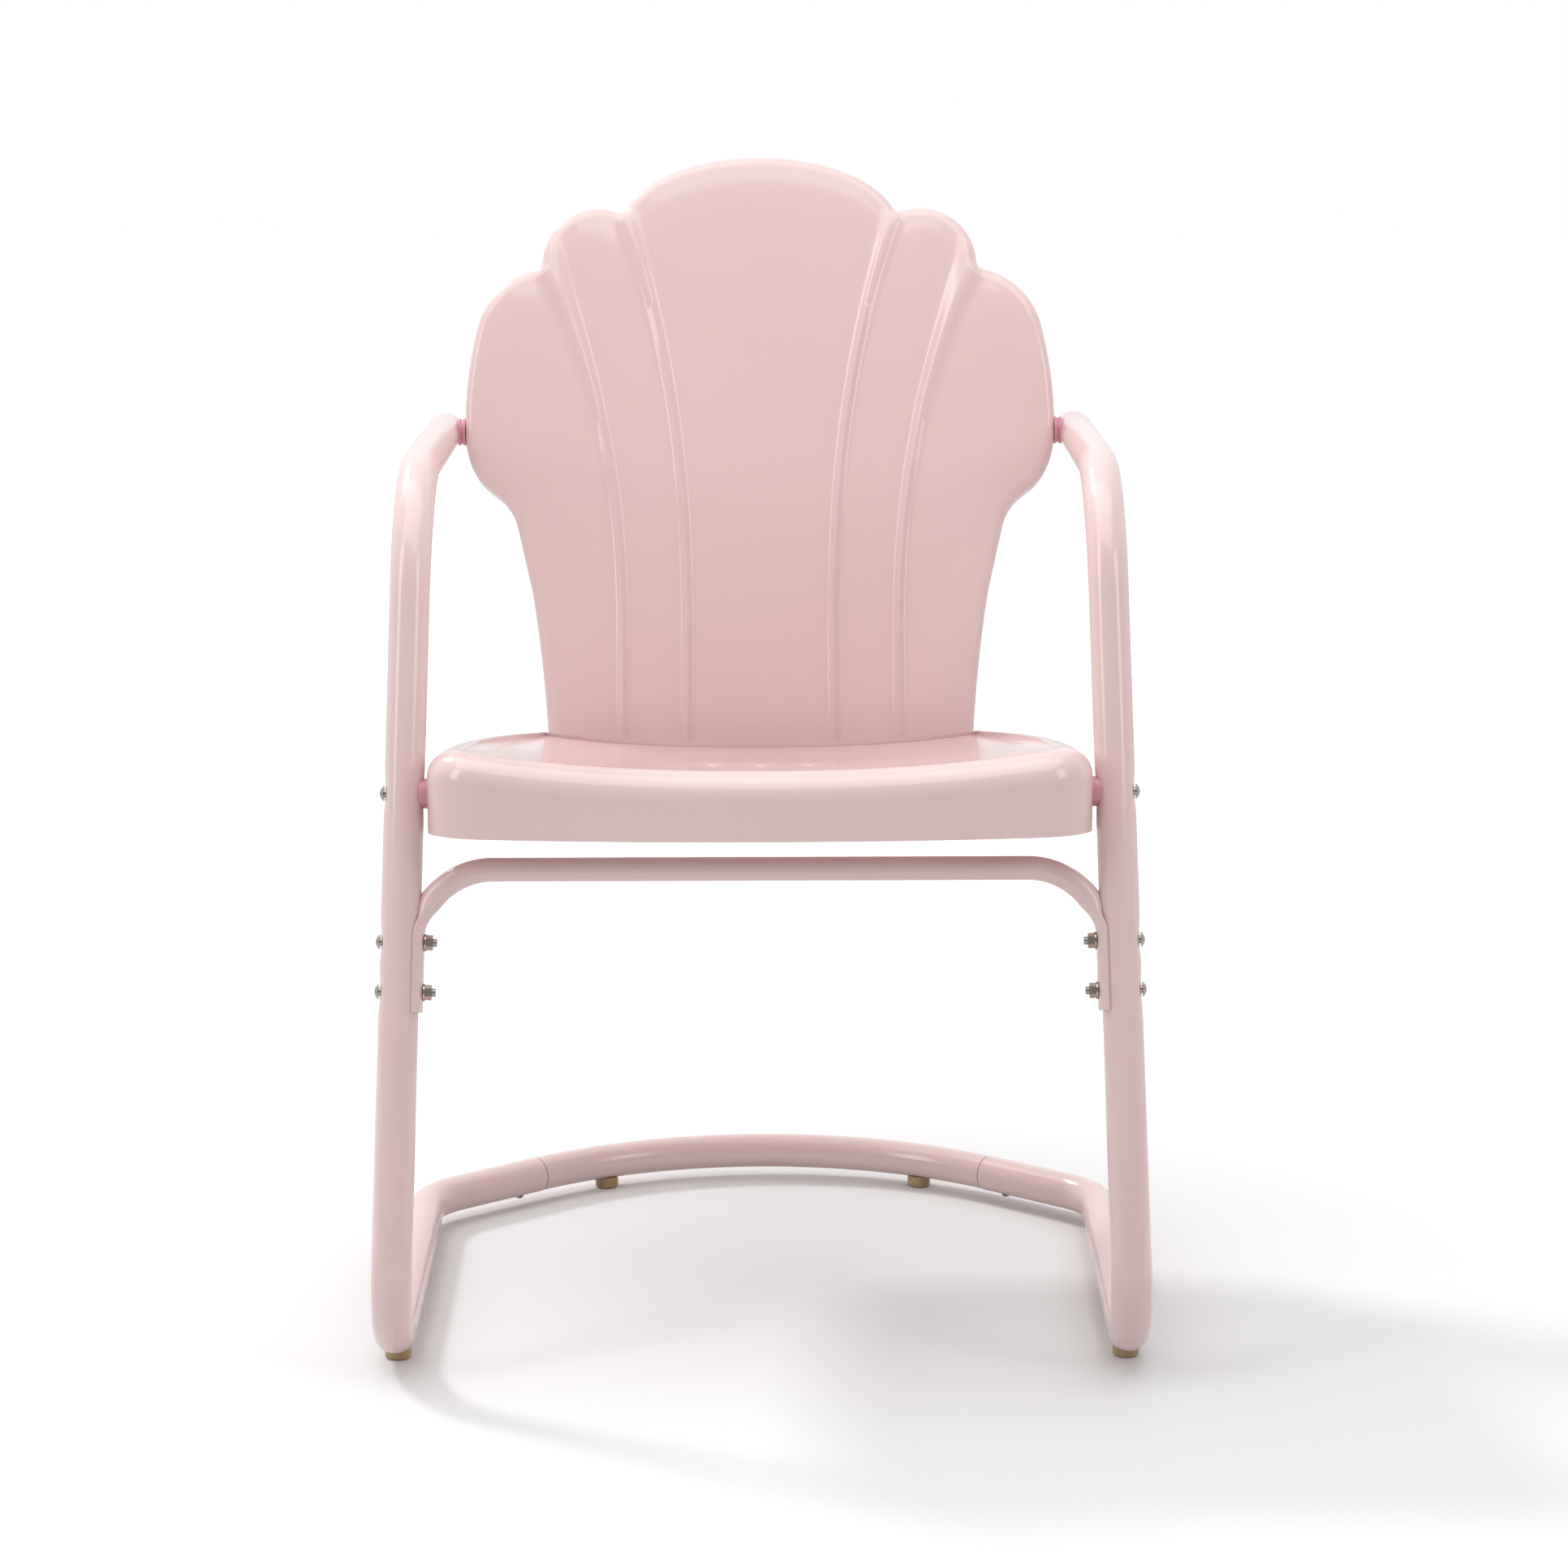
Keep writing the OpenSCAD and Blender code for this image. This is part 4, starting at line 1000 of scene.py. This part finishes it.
cols, rows = len(seatSouth), len(seatEast)
south, east, north, west = sidesOf(seatLoop + seatIns * seatLook["roll"], cols, rows)


def crownAt(x):
    return seatLook["crown"] * (np.abs(x) / seatHalf) ** seatLook["crownPower"]


def seatCrest(p):
    fall = tand(seatLook["fall"]) * (p[..., 1] - seatFront - seatLook["roll"])
    return seatLook["height"] + crownAt(p[..., 0]) - fall


# The face spans its four sides, and its middle dips
right = np.linspace(0, 1, cols)[None, :, None]
rear = np.linspace(0, 1, rows)[:, None, None]
seatGrid = west[:, None] * (1 - right) + east[:, None] * right
seatGrid += south[None] * (1 - rear) + north[None] * rear
seatGrid -= (south[0] * (1 - right) + south[-1] * right) * (1 - rear)
seatGrid -= (north[0] * (1 - right) + north[-1] * right) * rear
dish = seatLook["dish"] * (16 * right * (1 - right) * rear * (1 - rear))[..., 0] ** seatLook["dishPower"]
drainReach = len(seatLook["drainRadius"]) - 1
down, across = np.mgrid[-drainReach:drainReach + 1, -drainReach:drainReach + 1]
ring = np.maximum(np.abs(down), np.abs(across))
drainRadius, drainRound = [np.array(seatLook[k])[ring][..., None] for k in ("drainRadius", "drainRound")]
drainDip = np.array(seatLook["drainDip"])[ring]
drainAngle = np.arctan2(down, across)
drainCircle = drainRadius * np.stack([np.cos(drainAngle), np.sin(drainAngle)], axis=-1)
drains = []
for x in (-seatLook["drainGap"], 0.0, seatLook["drainGap"]):
    spot = np.array([x, seatLook["drainAt"]])
    r, c = np.unravel_index(np.argmin(np.linalg.norm(seatGrid - spot, axis=-1)), (rows, cols))
    drains.append((int(r), int(c)))
    block = np.s_[r - drainReach:r + drainReach + 1, c - drainReach:c + drainReach + 1]
    seatGrid[block] = (spot + drainCircle) * drainRound + seatGrid[block] * (1 - drainRound)
    dish[block] += drainDip
rearShare = (seatLoop[:, 1] - seatFront) / (seatRear - seatFront)
seatDepth = seatLook["skirt"] + (seatLook["rearSkirt"] - seatLook["skirt"]) * rearShare
seatDepth += seatLook["crownSkirt"] * crownAt(seatLoop[:, 0])


def seatSideOf(thickness):
    rings = rolledRings(seatLoop, seatIns, seatLook["roll"], thickness, seatDepth, seatLook["rollRings"])
    faceHeight = seatCrest(seatGrid) - dish - thickness
    layers = [np.concatenate([seatGrid, faceHeight[..., None]], axis=-1).reshape(-1, 3)]
    layers += [np.column_stack([points, seatCrest(points) - drop]) for points, drop in rings]
    return np.concatenate(layers), len(rings)


seatOuter, seatRings = seatSideOf(0.0)
seatInner, _ = seatSideOf(chair["sheet"])
seat = shellFrom("seatShell", cols, rows, seatOuter, seatInner, seatRings, holes=drains)
seat.data.materials.append(coat)
closeNormals(seat)
sharpen(seat, seatLook["crease"])
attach(seat, "root")
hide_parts("seat_shell")
print("seat made", len(seat.data.polygons))

# Threads on the free ends of the brace bolts, in metres, turns and counts
threadLook = {
    "Radius": 0.00285,
    "Turns": 2.6,
    "Length": 0.0026,
    "Ridge": 0.0003,
    "Turn Points": 28,
    "Ridge Points": 6,
    "Material": boltSteel,
    "boltReach": 0.006,
    "tipGap": 0.0004,
}
threadCoil, coilIn, coilOut = newTree("threadCoil", threadLook)
coilPath = add(threadCoil, "GeometryNodeCurveSpiral", {
    "Resolution": coilIn["Turn Points"], "Rotations": coilIn["Turns"], "Start Radius": coilIn["Radius"],
    "End Radius": coilIn["Radius"], "Height": coilIn["Length"]}).outputs[0]
coilSkin = swept(threadCoil, coilPath, coilIn["Ridge Points"], coilIn["Ridge"])
coilTurn = add(threadCoil, "FunctionNodeAlignRotationToVector", {
    "Vector": attribute(threadCoil, "axis", "FLOAT_VECTOR")}, axis="Z").outputs[0]
coilPlaced = add(threadCoil, "GeometryNodeInstanceOnPoints", {
    "Points": coilIn["Geometry"], "Instance": coilSkin, "Rotation": coilTurn}).outputs[0]
finishTree(threadCoil, coilPlaced, coilIn["Material"], coilOut)

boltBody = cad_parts["brace_bolts"]
boltPoints = np.array([boltBody.matrix_world @ v.co for v in boltBody.data.vertices])
coilSpots, coilAxes = [], []
for side in (-1, 1):
    for drop in (0.0, boltHeights["braceGap"]):
        flip = np.array([side, 1.0, 1.0])
        place = toWorld((upperBolt - legUp * drop) * flip)
        inward = -legAcross * flip
        offset = boltPoints - place
        reach = offset @ inward
        close = np.linalg.norm(offset - reach[:, None] * inward, axis=1) < threadLook["boltReach"]
        tip = reach[close].max() - threadLook["tipGap"]
        coilSpots.append(place + inward * (tip - threadLook["Length"]))
        coilAxes.append(inward)
threads = meshObject("boltThreads", coilSpots, [], {"axis": coilAxes})
grow(threads, threadCoil, threadLook)
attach(threads, "root")
print("threads made", len(threads.data.polygons))

# The pieces that stay as the CAD model has them
finishes = {
    spacerPlastic: ["left_seat_spacer", "right_seat_spacer", "left_back_spacer", "right_back_spacer"],
    boltSteel: ["seat_bolts", "arm_bolts", "brace_bolts", "shell_bolts", "base_screws"],
    nutSteel: ["seat_washers", "seat_nuts", "arm_washers", "arm_inserts", "brace_washers", "brace_nuts",
               "shell_washers", "shell_nuts"],
    plugPlastic: ["left_arm_plug", "right_arm_plug"],
    glidePlastic: ["front_left_glide", "front_right_glide", "rear_left_glide", "rear_right_glide"],
}
for material, names in finishes.items():
    for name in names:
        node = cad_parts[name]
        node.data.materials.clear()
        node.data.materials.append(material)
print("CAD nodes dressed")

# Stage, light and camera, in metres and degrees; shades, bounces and glows are shares of white. The floor
# carries a painted shadow round the chair and a painted glow farther out
stageLook = {
    "floorReach": 60.0,
    # Painted shadow: the floor that the camera sees is painted this darker grey round a centre in front of
    # the chair, and fades to the far grey between the two distances below
    "paintedShadowGrey": 0.785,
    "farShade": 0.97,
    "paintedShadowCentre": (0.2, -0.4, 0.0),
    "paintedShadowFrom": 0.5,
    "paintedShadowTo": 1.5,
    "floorBounce": 0.68,
    # Painted glow: the floor that the camera sees emits up to this share of white, growing out of the painted
    # shadow
    "paintedFarGlow": 0.25,
    "floorRough": 0.7,
    "floorSpecular": 0.2,
    "sunStrength": 1.05,
    "sunAngle": 9.0,
    "sunTurn": (0.72, -0.70, -1.0),
    "worldFront": 0.26,
    "worldBack": 0.98,
    "worldSpan": (-1.0, 0.6),
    "horizonShare": 0.92,
    "horizonTop": 0.8,
    "softBoxAim": (0, 0, 0.45),
}


def grey(level):
    return (level, level, level, 1.0)


reach = stageLook["floorReach"]
floorCorners = [(-reach, -reach, 0), (reach, -reach, 0), (reach, reach, 0), (-reach, reach, 0)]
floor = meshObject("floor", floorCorners, [(0, 1, 2, 3)])
floorMaterial, floorTree, floorShader = newMaterial("floorPaintedShadowAndGlow")
# For the camera the floor is painted darker round the chair as a painted shadow and glows farther out as
# painted light; other rays see an even bounce grey
floorPlace = add(floorTree, "ShaderNodeTexCoord").outputs["Object"]
fromPaintedShadow = vector(floorTree, "DISTANCE", floorPlace, stageLook["paintedShadowCentre"])
pastPaintedShadow = between(floorTree, fromPaintedShadow, stageLook["paintedShadowFrom"], stageLook["paintedShadowTo"])
floorWithPaintedShadow = mixColour(floorTree, pastPaintedShadow, grey(stageLook["paintedShadowGrey"]), grey(stageLook["farShade"]))
floorSeen = add(floorTree, "ShaderNodeLightPath").outputs["Is Camera Ray"]
feed(floorTree, floorShader, {
    "Base Color": mixColour(floorTree, floorSeen, grey(stageLook["floorBounce"]), floorWithPaintedShadow),
    "Emission Strength": product(floorTree, floorSeen, pastPaintedShadow, stageLook["paintedFarGlow"]),
    "Emission Color": grey(1.0),
    "Roughness": stageLook["floorRough"],
    "Specular IOR Level": stageLook["floorSpecular"],
})
floor.data.materials.append(floorMaterial)

world = bpy.data.worlds.new("studio")
bpy.context.scene.world = world
world.use_nodes = True
worldTree = world.node_tree
worldTree.nodes.clear()
worldPlace = add(worldTree, "ShaderNodeTexCoord").outputs["Generated"]
worldWay = add(worldTree, "ShaderNodeSeparateXYZ", {0: worldPlace}).outputs
worldEnds = (stageLook["worldFront"], stageLook["worldBack"])
worldRamp = between(worldTree, worldWay["Y"], *stageLook["worldSpan"], *worldEnds)
worldRise = between(worldTree, worldWay["Z"], 0.0, stageLook["horizonTop"], stageLook["horizonShare"])
worldSeen = add(worldTree, "ShaderNodeLightPath").outputs["Is Camera Ray"]
worldGlow = product(worldTree, worldRamp, worldRise)
worldMix = add(worldTree, "ShaderNodeMix", {0: worldSeen, 2: worldGlow, 3: 1.0})
worldShade = add(worldTree, "ShaderNodeBackground", {"Color": grey(1.0), "Strength": worldMix.outputs[0]})
add(worldTree, "ShaderNodeOutputWorld", {0: worldShade.outputs[0]})


def newLamp(label, kind, energy):
    lamp = bpy.data.objects.new(label, bpy.data.lights.new(label, kind))
    bpy.context.collection.objects.link(lamp)
    lamp.data.energy = energy
    return lamp


def turnTowards(lamp, way):
    lamp.rotation_euler = Vector(way).to_track_quat("-Z", "Y").to_euler()


sun = newLamp("sun", "SUN", stageLook["sunStrength"])
sun.data.angle = math.radians(stageLook["sunAngle"])
turnTowards(sun, stageLook["sunTurn"])
softBoxes = {
    "frontRightBox": {"at": (2.2, -1.9, 1.9), "size": (0.9, 1.5), "power": 12.0},
    "frontLeftBox": {"at": (-2.3, -1.5, 1.9), "size": (0.8, 1.8), "power": 15.0},
    "topBox": {"at": (-0.1, -0.4, 2.25), "size": (2.4, 1.7), "power": 21.0},
}
for label, values in softBoxes.items():
    lamp = newLamp(label, "AREA", values["power"])
    lamp.location = values["at"]
    lamp.data.shape = "RECTANGLE"
    lamp.data.size, lamp.data.size_y = values["size"]
    turnTowards(lamp, Vector(stageLook["softBoxAim"]) - lamp.location)

cameraLook = {
    "across": 0.007,
    "aheadOfFoot": 2.399,
    "height": 0.873,
    "pitch": 9.86,
    "roll": -0.2,
    "sideShift": 0.0094,
    "sensor": 36.0,
    "focalPixels": 4200,
    "photoPixels": 1932,
}
camera = bpy.data.objects.new("camera", bpy.data.cameras.new("camera"))
bpy.context.collection.objects.link(camera)
camera.data.lens = cameraLook["focalPixels"] / cameraLook["photoPixels"] * cameraLook["sensor"]
camera.data.sensor_width = cameraLook["sensor"]
camera.data.sensor_fit = "HORIZONTAL"
camera.data.shift_x = cameraLook["sideShift"]
cameraY = -cameraLook["aheadOfFoot"] - shiftY
cameraAt = Matrix.Translation((cameraLook["across"], cameraY, cameraLook["height"]))
cameraPitch = Matrix.Rotation(math.radians(90 - cameraLook["pitch"]), 4, "X")
cameraRoll = Matrix.Rotation(math.radians(cameraLook["roll"]), 4, "Z")
camera.matrix_world = cameraAt @ (cameraPitch @ cameraRoll)
bpy.context.scene.camera = camera
bpy.context.scene.view_settings.view_transform = "Standard"
print("stage, light and camera made")
